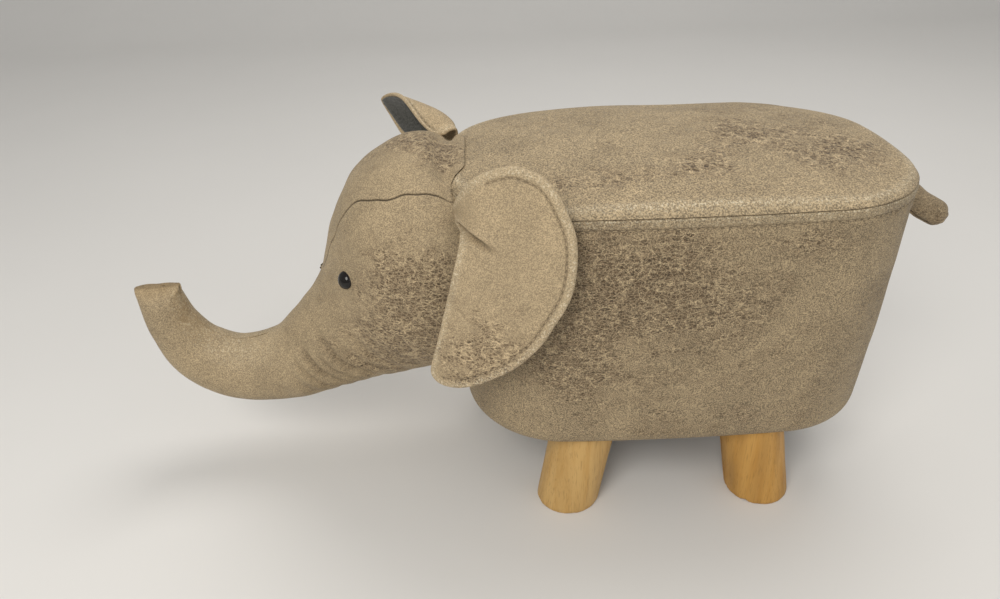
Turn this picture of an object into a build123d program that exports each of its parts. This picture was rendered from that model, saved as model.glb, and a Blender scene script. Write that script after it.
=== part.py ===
from build123d import *
import os
from math import atan, cos, degrees, radians, sin, sqrt, tan

# Upholstered elephant footstool.  Sizes are in millimetres and angles in degrees.
# The model is worked out with the middle of the seat over x = 0, the head towards -X, the tail
# towards +X and the floor at z = 0.  Each solid is then moved along X by overall_centre_x, so
# that the origin lies on the floor under the middle of the overall length.

os.makedirs("parts", exist_ok=True)

# ---------------------------------------------------------------- driving dimensions
overall_centre_x = 87.0        # middle of the seat, from the middle of the overall length

# Upholstered body: a box with bowed sides and rounded corners that narrows downward
underside_z = 65.0             # height of the underside, which is also the leg height
ridge_z = 240.0                # seam between the side band and the seat panel
top_half_length = 150.0        # at the ridge
top_half_width = 103.0
wall_lean = 2.1                # overhang of the side band
end_bow = 12.0                 # how far each end swells past its corners
side_bow = 6.0
corner_radius = 76.0
bottom_edge_radius = 15.0
crown_height = 17.5            # top of the seat above the ridge
crown_side_drop = 11.0         # fall of the crown from the middle to a long side
crown_end_drop = 11.0          # fall of the crown from the middle to an end
crown_rim_lean = 35.0          # slope of the seat panel's rim, from upright

# Cloth, foam and board
leather_thickness = 1.2
turn_under = 9.0               # width of the side band that lies flat under the base board
dust_cloth_thickness = 0.5
dust_cloth_inset = 14.0
foam_thickness = 6.0           # sheet foam round the sides
wrap_thickness = 3.0           # bent hardboard round the frame
board_thickness = 15.0
base_edge_bevel = 5.0          # under the base board, where the cover turns in
panel_thickness = 15.0
seat_foam_thickness = 18.5     # below the ridge
layer_gap = 0.1                # between layers that are glued or pulled over each other
wrap_lift = 12.0               # lower edge of the hardboard above the underside
foam_lift = 5.0                # lower edge of the sheet foam above the underside
panel_stand_off = 3.2          # from the end panels to the bowed hardboard, at its middle

# Frame posts and panels
post_size = 30.0
post_from_end = 60.0           # from the ridge outline
post_from_side = 53.0
end_panel_half_width = 36.0

# Wood screws
screw_diameter = 4.0
screw_length = 45.0
screw_head_diameter = 8.0
screw_tip_length = 3.0
screw_clearance = 0.05

# Legs
leg_diameter = 45.0
leg_from_end = 90.0            # from the ridge outline
leg_from_side = 39.0
leg_splay_x = 0.178            # outward lean, as run over rise
leg_splay_y = 0.061
leg_edge_bevel = 1.5

# Hanger bolts and tee nuts
bolt_diameter = 8.0
bolt_in_leg = 35.0
bolt_past_nut = 4.0
bolt_bevel = 1.0
bolt_clearance = 0.05
bolt_hole_play = 0.5           # round a bolt that passes through a board
tee_barrel_diameter = 10.5
tee_barrel_length = 9.0
tee_flange_diameter = 21.0
tee_flange_thickness = 1.5

# Head and trunk: stations along the centre line.  Each gives its distance ahead of the seat's
# front end, its distance below the ridge, the half height of the section across the line, and
# the section's width as a share of that height.
head_stations = [
    (-29.0, 34.0, 56.5, 0.99),
    (-19.0, 42.0, 77.0, 0.99),
    (5.0, 65.0, 84.0, 0.94),
    (32.0, 89.0, 74.0, 0.93),
    (64.0, 116.0, 52.0, 0.92),
    (98.0, 138.0, 37.0, 0.95),
    (129.0, 154.0, 29.5, 1.00),
    (167.0, 157.5, 25.5, 1.00),
    (195.0, 143.0, 22.5, 1.00),
    (209.0, 119.0, 18.5, 1.00),
    (214.0, 93.0, 15.5, 1.00),
]
ear_station = 1
eye_station = 3
neck_tuck = 13.0               # how far the head laps over the seat, behind its front end
neck_gap = 0.3                 # between the head and the body that it is sewn to
trunk_cap_thickness = 2.0

# Gusset over the top of the head: distance ahead of the front end, and half width
gusset_stations = [(-30.0, 56.0), (3.0, 56.0), (32.0, 54.0), (57.0, 40.0), (81.0, 22.0)]
gusset_point = 93.0            # where its two seams meet over the trunk
gusset_depth = 90.0            # below the ridge, beyond the point

# Neck board and its bolts
neck_board_half_height = 48.0
neck_board_half_width = 52.0
neck_board_thickness = 12.0
neck_board_drop = 74.0         # its centre below the ridge
neck_bolt_spacing = 50.0
neck_bolt_head_width = 13.0
neck_bolt_head_height = 5.3
washer_diameter = 20.0
washer_thickness = 1.6

# Eyes, on shanks locked with washers behind the leather
eye_diameter = 11.5
eye_dome_height = 4.6
eye_ahead = 4.5                # centre that the eyes look out from, ahead of its station
eye_below = 4.0
eye_turn = 33.0                # forward from square across the head
eye_rise = 30.0
eye_stem_diameter = 4.0
eye_stem_length = 13.0
eye_washer_diameter = 16.0
eye_washer_thickness = 1.2
eye_washer_drop = 2.0          # room for the cheek's curve over the flat washer

# Ears, each of leather, padding and felt, hung from a gathered root
ear_root_turn = 14.0           # where the roots are sewn, forward from square across the head
ear_root_rise = 25.0
ear_root_ball = 4.5            # radius of the gathered root
ear_root_spread = 8.0          # radius where the root joins the padding
ear_root_overrun = 6.0         # how far the root runs on into the padding
ear_face_thickness = 1.2
ear_pad_thickness = 2.0
ear_lining_thickness = 1.0
ear_tip_radius = 7.0

# Left ear, hanging back over the corner of the body; lengths from the top of its front edge
left_ear_turn = 20.0           # its plane, outward from the length of the body
left_ear_tilt = 8.0            # its face, upward from level
left_ear_back = 2.0            # top of the front edge, from the root
left_ear_out = 31.0
left_ear_curl_radius = 130.0
left_ear_curl_middle = 23.0
left_ear_tip = (-21.5, -105.0)
left_ear_lower_bulge = (45.0, -71.5)
left_ear_rear = (68.5, -4.5)
left_ear_upper_bulge = (55.5, 27.5)
left_ear_top = (25.0, 41.5)
left_ear_top_bulge = (6.5, 35.0)
left_ear_root_top = (-9.0, 23.0)
left_ear_gather = (0.0, 9.0, -4.0)     # where the root's middle line meets the padding

# Right ear, flung out and forward and curled along its length
right_ear_turn = 46.5          # forward from square across the head
right_ear_rise = 13.0
right_ear_roll = 14.0          # about its length, towards the rear
right_ear_start = 12.0         # root end of the blade, out from the root
right_ear_lift = 8.0           # crest of the curl above the root
right_ear_curl_radius = 30.0
right_ear_length = 70.0
right_ear_half_root = 11.0
right_ear_bulge_run = 31.5     # widest place, out from the root end
right_ear_near_bulge = 24.0
right_ear_far_bulge = 27.0
right_ear_tip_shift = 2.0
right_ear_gather = (0.0, -10.0, -3.0)

# Tail
tail_root_radius = 9.5
tail_tip_radius = 8.0
tail_length = 46.0
tail_root_drop = 27.0          # below the ridge
tail_droop = 33.0              # below level

# Staples under the base
staple_edge_distance = 4.0     # inside the edge of the dust cloth
side_staple_from_leg = 5.5     # clear of a leg, along a side
end_staple_from_leg = 9.5      # clear of a leg, across an end
staple_crown = 10.0
staple_leg = 6.0
staple_wire = 1.0

# ---------------------------------------------------------------- places that follow from these
corner_signs = {"front_left": (-1, -1), "front_right": (-1, 1), "rear_left": (1, -1), "rear_right": (1, 1)}
leg_x = top_half_length - leg_from_end
leg_y = top_half_width - leg_from_side
post_x = top_half_length - post_from_end
post_y = top_half_width - post_from_side

fold_z = underside_z + dust_cloth_thickness
base_low_z = fold_z + leather_thickness
base_high_z = base_low_z + board_thickness
seat_high_z = ridge_z - seat_foam_thickness
seat_low_z = seat_high_z - board_thickness

foam_inset = leather_thickness + layer_gap
wrap_inset = foam_inset + foam_thickness + layer_gap
board_inset = wrap_inset + wrap_thickness + layer_gap

cut_margin = 1.0               # how far a cutting tool runs past what it cuts
clear_of_all = 400.0           # a length greater than any part of the stool


# ---------------------------------------------------------------- body shapes
def wall_run(z):
    """How far the leaning wall has drawn in at height z, from the ridge."""
    return (ridge_z - z) * tan(radians(wall_lean))


def bow_radius(half_chord, bow):
    """Radius of an arc that rises by its bow over a chord."""
    return (half_chord ** 2 + bow ** 2) / (2 * bow)


def outline(inset):
    """Outline of the body at the ridge, less an inset: four bowed edges with rounded corners."""
    side_radius = bow_radius(top_half_length - end_bow, side_bow)
    end_radius = bow_radius(top_half_width - side_bow, end_bow)
    sides = Circle(side_radius - inset)
    ends = Circle(end_radius - inset)
    side_centre = side_radius - top_half_width
    end_centre = end_radius - top_half_length
    sharp = Pos(0, side_centre) * sides & Pos(0, -side_centre) * sides
    sharp = sharp & Pos(end_centre, 0) * ends & Pos(-end_centre, 0) * ends
    return fillet(sharp.vertices(), corner_radius - inset)


def footprint(z, inset):
    """Section of the body at height z, less an inset."""
    return Pos(0, 0, z) * outline(inset + wall_run(z))


def leaning_column(inset, low_z, high_z, lean):
    """Column on the outline, whose walls lean outward from bottom to top through the ridge."""
    column = extrude(Pos(0, 0, low_z) * outline(inset), high_z - low_z)
    walls = column.faces().sort_by(Axis.Z)[1:-1]
    return draft(walls, Plane.XY.offset(ridge_z), -lean)


def body_block(inset, low_z, high_z):
    """Block of the body's form between two heights."""
    return leaning_column(inset, low_z, high_z, wall_lean)


def lower_edges(block):
    """Edges round the lowest face of a block."""
    return block.faces().sort_by(Axis.Z)[0].edges()


def rounded_block(inset, low_z, high_z, edge_radius):
    """Block of the body's form with its lower edge rounded."""
    block = body_block(inset, low_z, high_z)
    return fillet(lower_edges(block), edge_radius)


def crown_block(inset, low_z):
    """Seat form: a rim that leans in from the ridge, topped by an arc carried along an arc."""
    top_z = ridge_z + crown_height - inset
    along_radius = bow_radius(top_half_length, crown_end_drop)
    across_radius = bow_radius(top_half_width, crown_side_drop)
    column = leaning_column(inset, low_z, top_z + cut_margin, -crown_rim_lean)
    reach = top_half_width + corner_radius
    hub_z = top_z - along_radius
    edge_z = top_z - across_radius + sqrt(across_radius ** 2 - reach ** 2)
    hub = Axis((0, 0, hub_z), (0, 1, 0))
    profile = Curve() + [
        ThreePointArc((0, -reach, edge_z), (0, 0, top_z), (0, reach, edge_z)),
        Polyline((0, reach, edge_z), (0, reach, hub_z), (0, -reach, hub_z), (0, -reach, edge_z)),
    ]
    half_turn = degrees(atan((top_half_length + corner_radius) / along_radius))
    wheel = revolve(make_face(profile).rotate(hub, -half_turn), hub, 2 * half_turn)
    return column & wheel


def column_between(low_z, high_z):
    """Tall square column that keeps what lies between two heights."""
    height = high_z - low_z
    return Pos(0, 0, low_z + height / 2) * Box(2 * clear_of_all, 2 * clear_of_all, height)


def half_length_at(z, inset):
    """Distance of an end's middle from the middle of the seat, at height z."""
    return top_half_length - wall_run(z) - inset


def half_width_at(z, inset):
    """Distance of a side's middle from the middle of the seat, at height z."""
    return top_half_width - wall_run(z) - inset


# ---------------------------------------------------------------- covers and foam
def make_cover_side():
    """Side band: a thin leaning skin, folded under at its lower edge."""
    outer = rounded_block(0, fold_z, ridge_z, bottom_edge_radius)
    inner_radius = bottom_edge_radius - leather_thickness
    inner = rounded_block(leather_thickness, base_low_z, ridge_z + cut_margin, inner_radius)
    mouth = footprint(fold_z, bottom_edge_radius + turn_under)
    return outer - inner - extrude(mouth, 2 * leather_thickness, both=True)


def make_cover_top():
    """Seat panel: a thin crowned skin that ends at the ridge."""
    return crown_block(0, ridge_z) - crown_block(leather_thickness, ridge_z - cut_margin)


def make_side_foam():
    """Sheet foam between the side band and the hardboard, thinned towards its lower edge."""
    high_z = seat_high_z - neck_gap
    outer = rounded_block(foam_inset, base_low_z, high_z, bottom_edge_radius - foam_inset)
    inner = body_block(wrap_inset - layer_gap, underside_z - cut_margin, high_z + cut_margin)
    return (outer - inner) & column_between(underside_z + foam_lift, ridge_z)


def make_side_wrap():
    """Hardboard bent round the frame."""
    low_z = underside_z + wrap_lift
    high_z = seat_high_z - neck_gap
    inner = body_block(wrap_inset + wrap_thickness, low_z - cut_margin, high_z + cut_margin)
    return body_block(wrap_inset, low_z, high_z) - inner


def make_seat_foam():
    """Seat pad: flat below, crowned above."""
    return body_block(foam_inset, seat_high_z, ridge_z) + crown_block(foam_inset, ridge_z)


def make_dust_cloth():
    """Thin cloth that closes the underside."""
    cloth = extrude(footprint(underside_z, dust_cloth_inset), dust_cloth_thickness)
    return cloth - leg_bolt_bores(bolt_hole_play, underside_z - cut_margin, fold_z + cut_margin)


# ---------------------------------------------------------------- frame
def leg_bolt_cylinders(radius, low_z, high_z):
    """Four upright cylinders on the legs' bolt centres."""
    height = high_z - low_z
    return Part() + [
        Pos(x_sign * leg_x, y_sign * leg_y, low_z + height / 2) * Cylinder(radius, height)
        for x_sign, y_sign in corner_signs.values()
    ]


def leg_bolt_bores(play, low_z, high_z):
    """Holes for the legs' bolts, with play all round them."""
    return leg_bolt_cylinders(bolt_diameter / 2 + play, low_z, high_z)


def wood_screw(clearance=0.0):
    """Countersunk screw along -Z with the top of its head at the origin."""
    radius = screw_diameter / 2 + clearance
    head_radius = screw_head_diameter / 2 + clearance
    head_depth = head_radius - radius
    tip_z = -screw_length - clearance
    profile = Polyline(
        (0, 0),
        (head_radius, 0),
        (radius, -head_depth),
        (radius, tip_z + screw_tip_length),
        (0, tip_z),
        close=True,
    )
    return revolve(Plane.XZ * make_face(profile), Axis.Z)


def panel_middle_x(z):
    """Distance of an end panel's middle from the middle of the seat, at height z."""
    return half_length_at(z, board_inset) - panel_stand_off - panel_thickness / 2


def screw_places():
    """Screws down through the seat board and up through the base board, into posts and panels."""
    upward = Rot(180, 0, 0)
    places = []
    for x_sign, y_sign in corner_signs.values():
        post = (x_sign * post_x, y_sign * post_y)
        panel_y = y_sign * end_panel_half_width / 2
        places.append(Pos(*post, seat_high_z))
        places.append(Pos(*post, base_low_z) * upward)
        places.append(Pos(x_sign * panel_middle_x(seat_low_z), panel_y, seat_high_z))
        places.append(Pos(x_sign * panel_middle_x(base_high_z), panel_y, base_low_z) * upward)
    return places


def all_screws(clearance=0.0):
    """Every wood screw of the frame, as one group."""
    return Part() + [place * wood_screw(clearance) for place in screw_places()]


def make_base_board():
    """Base board, bored for the tee nuts and the frame's screws."""
    board = body_block(board_inset, base_low_z, base_high_z)
    board = chamfer(lower_edges(board), base_edge_bevel)
    board -= leg_bolt_bores(bolt_hole_play, base_low_z - cut_margin, base_high_z + cut_margin)
    barrel_low_z = base_high_z - tee_barrel_length - layer_gap
    barrel_radius = tee_barrel_diameter / 2 + bolt_clearance
    board -= leg_bolt_cylinders(barrel_radius, barrel_low_z, base_high_z + cut_margin)
    return board - all_screws(screw_clearance)


def make_seat_board():
    """Board under the seat pad."""
    return body_block(board_inset, seat_low_z, seat_high_z) - all_screws(screw_clearance)


def make_post(x_sign, y_sign):
    """Square post between the two boards."""
    height = seat_low_z - base_high_z
    middle = Pos(x_sign * post_x, y_sign * post_y, base_high_z + height / 2)
    return middle * Box(post_size, post_size, height) - all_screws(screw_clearance)


def end_plane(x_sign, z):
    """Plane on an end panel's middle, facing outward along the end's slight overhang."""
    return Plane(
        origin=(x_sign * panel_middle_x(z), 0, z),
        x_dir=(0, x_sign, 0),
        z_dir=(x_sign * cos(radians(wall_lean)), 0, -sin(radians(wall_lean))),
    )


def make_end_panel(x_sign):
    """Panel that leans with the end of the body, cut level at both boards."""
    middle = end_plane(x_sign, (base_high_z + seat_low_z) / 2)
    sheet = middle * Rectangle(2 * end_panel_half_width, clear_of_all)
    panel = extrude(sheet, panel_thickness / 2, both=True) & column_between(base_high_z, seat_low_z)
    return panel - all_screws(screw_clearance)


# ---------------------------------------------------------------- legs and their fasteners
def make_leg(x_sign, y_sign):
    """Round leg that leans outward, cut level at the top and at the floor."""
    lean = (x_sign * leg_splay_x, y_sign * leg_splay_y, -1)
    top = Plane(origin=(x_sign * leg_x, y_sign * leg_y, underside_z), z_dir=lean)
    rod = extrude(top * Circle(leg_diameter / 2), 2 * underside_z, both=True)
    leg = rod & column_between(0, underside_z)
    leg = chamfer(lower_edges(leg), leg_edge_bevel)
    bore_low_z = underside_z - bolt_in_leg - cut_margin
    return leg - leg_bolt_bores(bolt_clearance, bore_low_z, underside_z + cut_margin)


def tee_nut():
    """Flanged nut on the origin plane, with its barrel along -Z."""
    flange = Cylinder(tee_flange_diameter / 2, tee_flange_thickness)
    barrel = Cylinder(tee_barrel_diameter / 2, tee_barrel_length)
    bore = Cylinder(bolt_diameter / 2 + bolt_clearance, 4 * tee_barrel_length)
    flange = Pos(0, 0, tee_flange_thickness / 2) * flange
    barrel = Pos(0, 0, -tee_barrel_length / 2) * barrel
    return flange + barrel - bore


def make_hanger_bolts():
    """Studs with bevelled ends that run from the legs up through the base board."""
    low_z = underside_z - bolt_in_leg
    studs = leg_bolt_bores(0, low_z, base_high_z + tee_flange_thickness + bolt_past_nut)
    return chamfer(studs.edges().filter_by(GeomType.CIRCLE), bolt_bevel)


def make_tee_nuts():
    """Nuts on top of the base board that take the hanger bolts."""
    nut = tee_nut()
    return Part() + [
        Pos(x_sign * leg_x, y_sign * leg_y, base_high_z) * nut
        for x_sign, y_sign in corner_signs.values()
    ]


def make_staples():
    """Staples that hold the dust cloth and the folded cover to the base board."""
    crown = Pos(0, 0, -staple_wire / 2) * Box(staple_crown, staple_wire, staple_wire)
    prong = Pos(0, 0, staple_leg / 2) * Box(staple_wire, staple_wire, staple_leg)
    prong_x = (staple_crown - staple_wire) / 2
    staple = crown + Pos(-prong_x, 0, 0) * prong + Pos(prong_x, 0, 0) * prong
    inset = dust_cloth_inset + staple_edge_distance
    side_y = half_width_at(underside_z, inset) - side_bow / 4
    end_x = half_length_at(underside_z, inset) - end_bow / 4
    side_step = leg_x - leg_diameter / 2 - side_staple_from_leg
    end_step = leg_y - leg_diameter / 2 - end_staple_from_leg
    places = []
    for sign in (-1, 1):
        for step in (-1, 0, 1):
            places.append(Pos(step * side_step, sign * side_y, underside_z))
            places.append(Pos(sign * end_x, step * end_step, underside_z) * Rot(0, 0, 90))
    return Part() + [place * staple for place in places]


# ---------------------------------------------------------------- head and trunk
def station_point(index):
    """Centre of the head or trunk at a station."""
    ahead, below = head_stations[index][:2]
    return Vector(-top_half_length - ahead, 0, ridge_z - below)


def station_plane(index):
    """Plane across the head's centre line at a station, with its X along the width."""
    before = station_point(max(index - 1, 0))
    after = station_point(min(index + 1, len(head_stations) - 1))
    return Plane(origin=station_point(index), x_dir=(0, 1, 0), z_dir=after - before)


def station_ellipse(index, inset=0.0):
    """Section of the head or trunk at a station, less an inset."""
    half_height, width_share = head_stations[index][2:]
    return station_plane(index) * Ellipse(half_height * width_share - inset, half_height - inset)


def head_form(inset):
    """Head and trunk as one smooth form: ellipses carried along a curved centre line."""
    return loft([station_ellipse(index, inset) for index in range(len(head_stations))])


def seated_head(inset):
    """Head form cut back where it meets the end of the body and the seat."""
    rear_x = -top_half_length + neck_tuck - inset
    front_part = Pos(rear_x - clear_of_all, 0, 0) * Box(2 * clear_of_all, clear_of_all, 2 * clear_of_all)
    form = head_form(inset) & front_part
    form -= body_block(-neck_gap, underside_z, ridge_z)
    return form - crown_block(-neck_gap, ridge_z - cut_margin)


def gusset_cutter():
    """Upright wedge over the crown of the head, narrowing to a point above the trunk."""
    side = [(-top_half_length - ahead, half_width) for ahead, half_width in gusset_stations]
    other = [(x, -y) for x, y in reversed(side)]
    point = (-top_half_length - gusset_point, 0)
    edges = Curve() + [Spline(*side, point), Spline(point, *other), Line(other[-1], side[0])]
    return Pos(0, 0, ridge_z - gusset_depth) * extrude(make_face(edges), clear_of_all)


def half_space(side):
    """Everything to one side of the stool's middle plane."""
    middle_y = side * clear_of_all / 2
    return Pos(0, middle_y, 0) * Box(3 * clear_of_all, clear_of_all, 2 * clear_of_all)


def head_skins():
    """The three leather panels of the head: left side, right side and the gusset on top."""
    skin = seated_head(0) - head_form(leather_thickness)
    for side in (-1, 1):
        skin -= eye_seat(side) * eye_bore()
    cutter = gusset_cutter()
    sides = skin - cutter
    return sides & half_space(-1), sides & half_space(1), skin & cutter


def make_trunk_cap():
    """Round panel that closes the end of the trunk."""
    last = len(head_stations) - 1
    plane = station_plane(last)
    cap = extrude(station_ellipse(last), trunk_cap_thickness)
    outer_face = cap.faces().sort_by(Axis(plane.origin, plane.z_dir))[-1]
    return fillet(outer_face.edges(), trunk_cap_thickness / 2)


def heading(side, turn, rise):
    """Direction out to one side, turned forward and raised by angles."""
    level = cos(radians(rise))
    return Vector(-sin(radians(turn)) * level, side * cos(radians(turn)) * level, sin(radians(rise)))


def leaving_point(origin, direction):
    """Point where a ray from inside the head leaves it, and the outward direction there."""
    hits = whole_head.find_intersection_points(Axis(origin, direction))
    point, normal = max(hits, key=lambda hit: (hit[0] - origin).dot(direction))
    return point, normal if normal.dot(direction) > 0 else -normal


def eye_seat(side):
    """Place on the cheek at an eye, with its Z outward."""
    origin = station_point(eye_station) - Vector(eye_ahead, 0, eye_below)
    point, normal = leaving_point(origin, heading(side, eye_turn, eye_rise))
    return Plane(origin=point, z_dir=normal).location


def eye_bore():
    """Hole for an eye's stem, through whatever lies at its seat."""
    return Cylinder(eye_stem_diameter / 2 + bolt_clearance, 2 * eye_stem_length + cut_margin)


def make_eye(side):
    """Domed eye with the stem that passes through the leather."""
    ball_radius = ((eye_diameter / 2) ** 2 + eye_dome_height ** 2) / (2 * eye_dome_height)
    ball = Pos(0, 0, eye_dome_height - ball_radius) * Sphere(ball_radius)
    cap_box = Pos(0, 0, eye_dome_height) * Box(2 * eye_diameter, 2 * eye_diameter, 2 * eye_dome_height)
    stem = Pos(0, 0, -eye_stem_length / 2) * Cylinder(eye_stem_diameter / 2, eye_stem_length)
    return eye_seat(side) * Pos(0, 0, layer_gap) * ((ball & cap_box) + stem)


def eye_washer(play):
    """Solid disc of an eye's washer behind the leather, with play all round it."""
    depth = leather_thickness + layer_gap + eye_washer_thickness / 2 + eye_washer_drop
    disc = Cylinder(eye_washer_diameter / 2 + play, eye_washer_thickness + 2 * play)
    return Pos(0, 0, -depth) * disc


def make_eye_washers():
    """The washers that lock both eyes."""
    return Part() + [eye_seat(side) * (eye_washer(0) - eye_bore()) for side in (-1, 1)]


# ---------------------------------------------------------------- neck board and bolts
def front_depth():
    """Distance from the middle of the front panel out to the face of the body."""
    return (panel_thickness / 2 + panel_stand_off + board_inset) * cos(radians(wall_lean))


def neck_plane(ahead):
    """Plane parallel to the front panel, at a distance ahead of the body where the head joins."""
    return end_plane(-1, ridge_z - neck_board_drop).offset(front_depth() + neck_gap + ahead)


def neck_oval(ahead, play):
    """Outline of the neck board on such a plane, with play all round it."""
    return neck_plane(ahead) * Ellipse(neck_board_half_width + play, neck_board_half_height + play)


def neck_bolt_places(ahead):
    """Centres of the two neck bolts on such a plane."""
    return [neck_plane(ahead).location * Pos(0, sign * neck_bolt_spacing / 2, 0) for sign in (-1, 1)]


def neck_bolt_bores():
    """Holes for the neck bolts, through the front of the body and the neck board."""
    bore = Cylinder(bolt_diameter / 2 + bolt_hole_play, clear_of_all / 4)
    return Part() + [place * bore for place in neck_bolt_places(0)]


def make_neck_board():
    """Oval board inside the back of the head."""
    board = extrude(neck_oval(0, 0), neck_board_thickness) - neck_bolt_bores()
    barrel = Cylinder(tee_barrel_diameter / 2 + bolt_clearance, 2 * (tee_barrel_length + layer_gap))
    for place in neck_bolt_places(neck_board_thickness):
        board -= place * barrel
    return board


def panel_inner_face():
    """Place of the front panel's inner face, measured ahead of the body."""
    return -front_depth() - neck_gap - panel_thickness / 2


def make_neck_bolts():
    """Bolts put in from inside the body that hold the head on."""
    head_face = panel_inner_face() - washer_thickness
    length = neck_board_thickness + tee_flange_thickness + bolt_past_nut - head_face
    shank = Pos(0, 0, length / 2) * Cylinder(bolt_diameter / 2, length)
    hexagon = RegularPolygon(neck_bolt_head_width / 2, 6, major_radius=False)
    bolt = shank + extrude(hexagon, -neck_bolt_head_height)
    return Part() + [place * bolt for place in neck_bolt_places(head_face)]


def make_neck_washers():
    """Washers under the heads of the neck bolts."""
    disc = Cylinder(washer_diameter / 2, washer_thickness)
    ring = disc - Cylinder(bolt_diameter / 2 + bolt_clearance, 2 * washer_thickness)
    middle = panel_inner_face() - washer_thickness / 2
    return Part() + [place * ring for place in neck_bolt_places(middle)]


def make_neck_nuts():
    """Flanged nuts let into the front of the neck board."""
    nut = tee_nut()
    return Part() + [place * nut for place in neck_bolt_places(neck_board_thickness)]


def make_head_stuffing():
    """Filling of the head and trunk, hollowed for the neck board, bolts and eyes."""
    filling = seated_head(leather_thickness + layer_gap)
    filling -= extrude(neck_oval(-neck_gap, neck_gap), neck_board_thickness + 2 * neck_gap)
    nose = tee_flange_thickness + bolt_past_nut + neck_gap
    nose_hole = Pos(0, 0, nose / 2) * Cylinder(tee_flange_diameter / 2 + neck_gap, nose)
    for place in neck_bolt_places(neck_board_thickness):
        filling -= place * nose_hole
    for side in (-1, 1):
        filling -= eye_seat(side) * (eye_bore() + eye_washer(layer_gap))
    return filling


# ---------------------------------------------------------------- ears
def left_ear_outline():
    """Flat outline of the hanging ear: a straight front edge and a round back."""
    front_top = (0, 0)
    edges = Curve() + [
        Line(front_top, left_ear_tip),
        ThreePointArc(left_ear_tip, left_ear_lower_bulge, left_ear_rear),
        ThreePointArc(left_ear_rear, left_ear_upper_bulge, left_ear_top),
        ThreePointArc(left_ear_top, left_ear_top_bulge, left_ear_root_top),
        Line(left_ear_root_top, front_top),
    ]
    return rounded_tip(make_face(edges))


def right_ear_outline():
    """Outline of the flung ear as seen from above its curl: a leaf with a round tip."""
    tip = (right_ear_tip_shift, -right_ear_length)
    near_root = (right_ear_half_root, 0)
    far_root = (-right_ear_half_root, 0)
    edges = Curve() + [
        ThreePointArc(near_root, (right_ear_near_bulge, -right_ear_bulge_run), tip),
        ThreePointArc(tip, (-right_ear_far_bulge, -right_ear_bulge_run), far_root),
        Line(far_root, near_root),
    ]
    return rounded_tip(make_face(edges))


def rounded_tip(face):
    """An ear's outline with its lowest corner rounded."""
    return fillet(face.vertices().sort_by(Axis.Y)[0], ear_tip_radius)


def curl_core(curl_radius, middle_x, depth):
    """Cylinder that an ear curls round, at a depth below the face of its leather."""
    core = Cylinder(curl_radius - depth, 2 * clear_of_all)
    return Pos(middle_x, 0, -curl_radius) * Rot(90, 0, 0) * core


def ear_layer(flat, curl_radius, middle_x, depth, thickness):
    """One layer of an ear: its outline, curved about a line that runs down the ear."""
    tube = curl_core(curl_radius, middle_x, depth) - curl_core(curl_radius, middle_x, depth + thickness)
    return tube & (Pos(0, 0, -curl_radius) * extrude(flat, curl_radius + cut_margin))


def ear_root(ball, gather, core, play):
    """Gathered root: a bead at the sewn point and a cone that spreads into the padding."""
    run = gather - ball
    length = run.length + ear_root_overrun
    cone = Pos(0, 0, length / 2) * Cone(ear_root_ball + play, ear_root_spread + play, length)
    bead = Pos(*ball) * Sphere(ear_root_ball + play)
    return (Plane(origin=ball, z_dir=run).location * cone + bead) & (core + bead)


def make_ear(plane, flat, curl_radius, middle_x, sewn_point, gather):
    """Leather, padding and felt of one ear, in that order, with the root on the padding."""
    pad_depth = ear_face_thickness + layer_gap
    lining_depth = pad_depth + ear_pad_thickness + layer_gap
    face = ear_layer(flat, curl_radius, middle_x, 0, ear_face_thickness)
    pad = ear_layer(flat, curl_radius, middle_x, pad_depth, ear_pad_thickness)
    lining = ear_layer(flat, curl_radius, middle_x, lining_depth, ear_lining_thickness)
    ball = plane.to_local_coords(sewn_point)
    core = curl_core(curl_radius, middle_x, pad_depth + ear_pad_thickness / 2)
    pad += ear_root(ball, Vector(*gather), core, 0)
    lining -= ear_root(ball, Vector(*gather), core, layer_gap)
    return plane.location * face, plane.location * pad, plane.location * lining


def root_ball(side):
    """Centre of an ear's gathered root, just clear of the leather."""
    direction = heading(side, ear_root_turn, ear_root_rise)
    point, normal = leaving_point(station_point(ear_station), direction)
    return point + normal * (ear_root_ball + neck_gap)


def make_left_ear():
    """The left ear, which hangs back over the corner of the body."""
    ball = root_ball(-1)
    plane = Plane(
        origin=ball + Vector(left_ear_back, -left_ear_out, 0),
        x_dir=(cos(radians(left_ear_turn)), -sin(radians(left_ear_turn)), 0),
        z_dir=heading(-1, left_ear_turn, left_ear_tilt),
    )
    flat = left_ear_outline()
    return make_ear(plane, flat, left_ear_curl_radius, left_ear_curl_middle, ball, left_ear_gather)


def make_right_ear():
    """The right ear, flung out and forward and curled along its length."""
    ball = root_ball(1)
    along = heading(1, right_ear_turn, right_ear_rise)
    upright = heading(1, right_ear_turn, right_ear_rise + 90)
    outward = upright.rotate(Axis((0, 0, 0), along), right_ear_roll)
    origin = ball + outward * right_ear_lift + along * right_ear_start
    plane = Plane(origin=origin, x_dir=outward.cross(along), z_dir=outward)
    return make_ear(plane, right_ear_outline(), right_ear_curl_radius, 0, ball, right_ear_gather)


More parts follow.
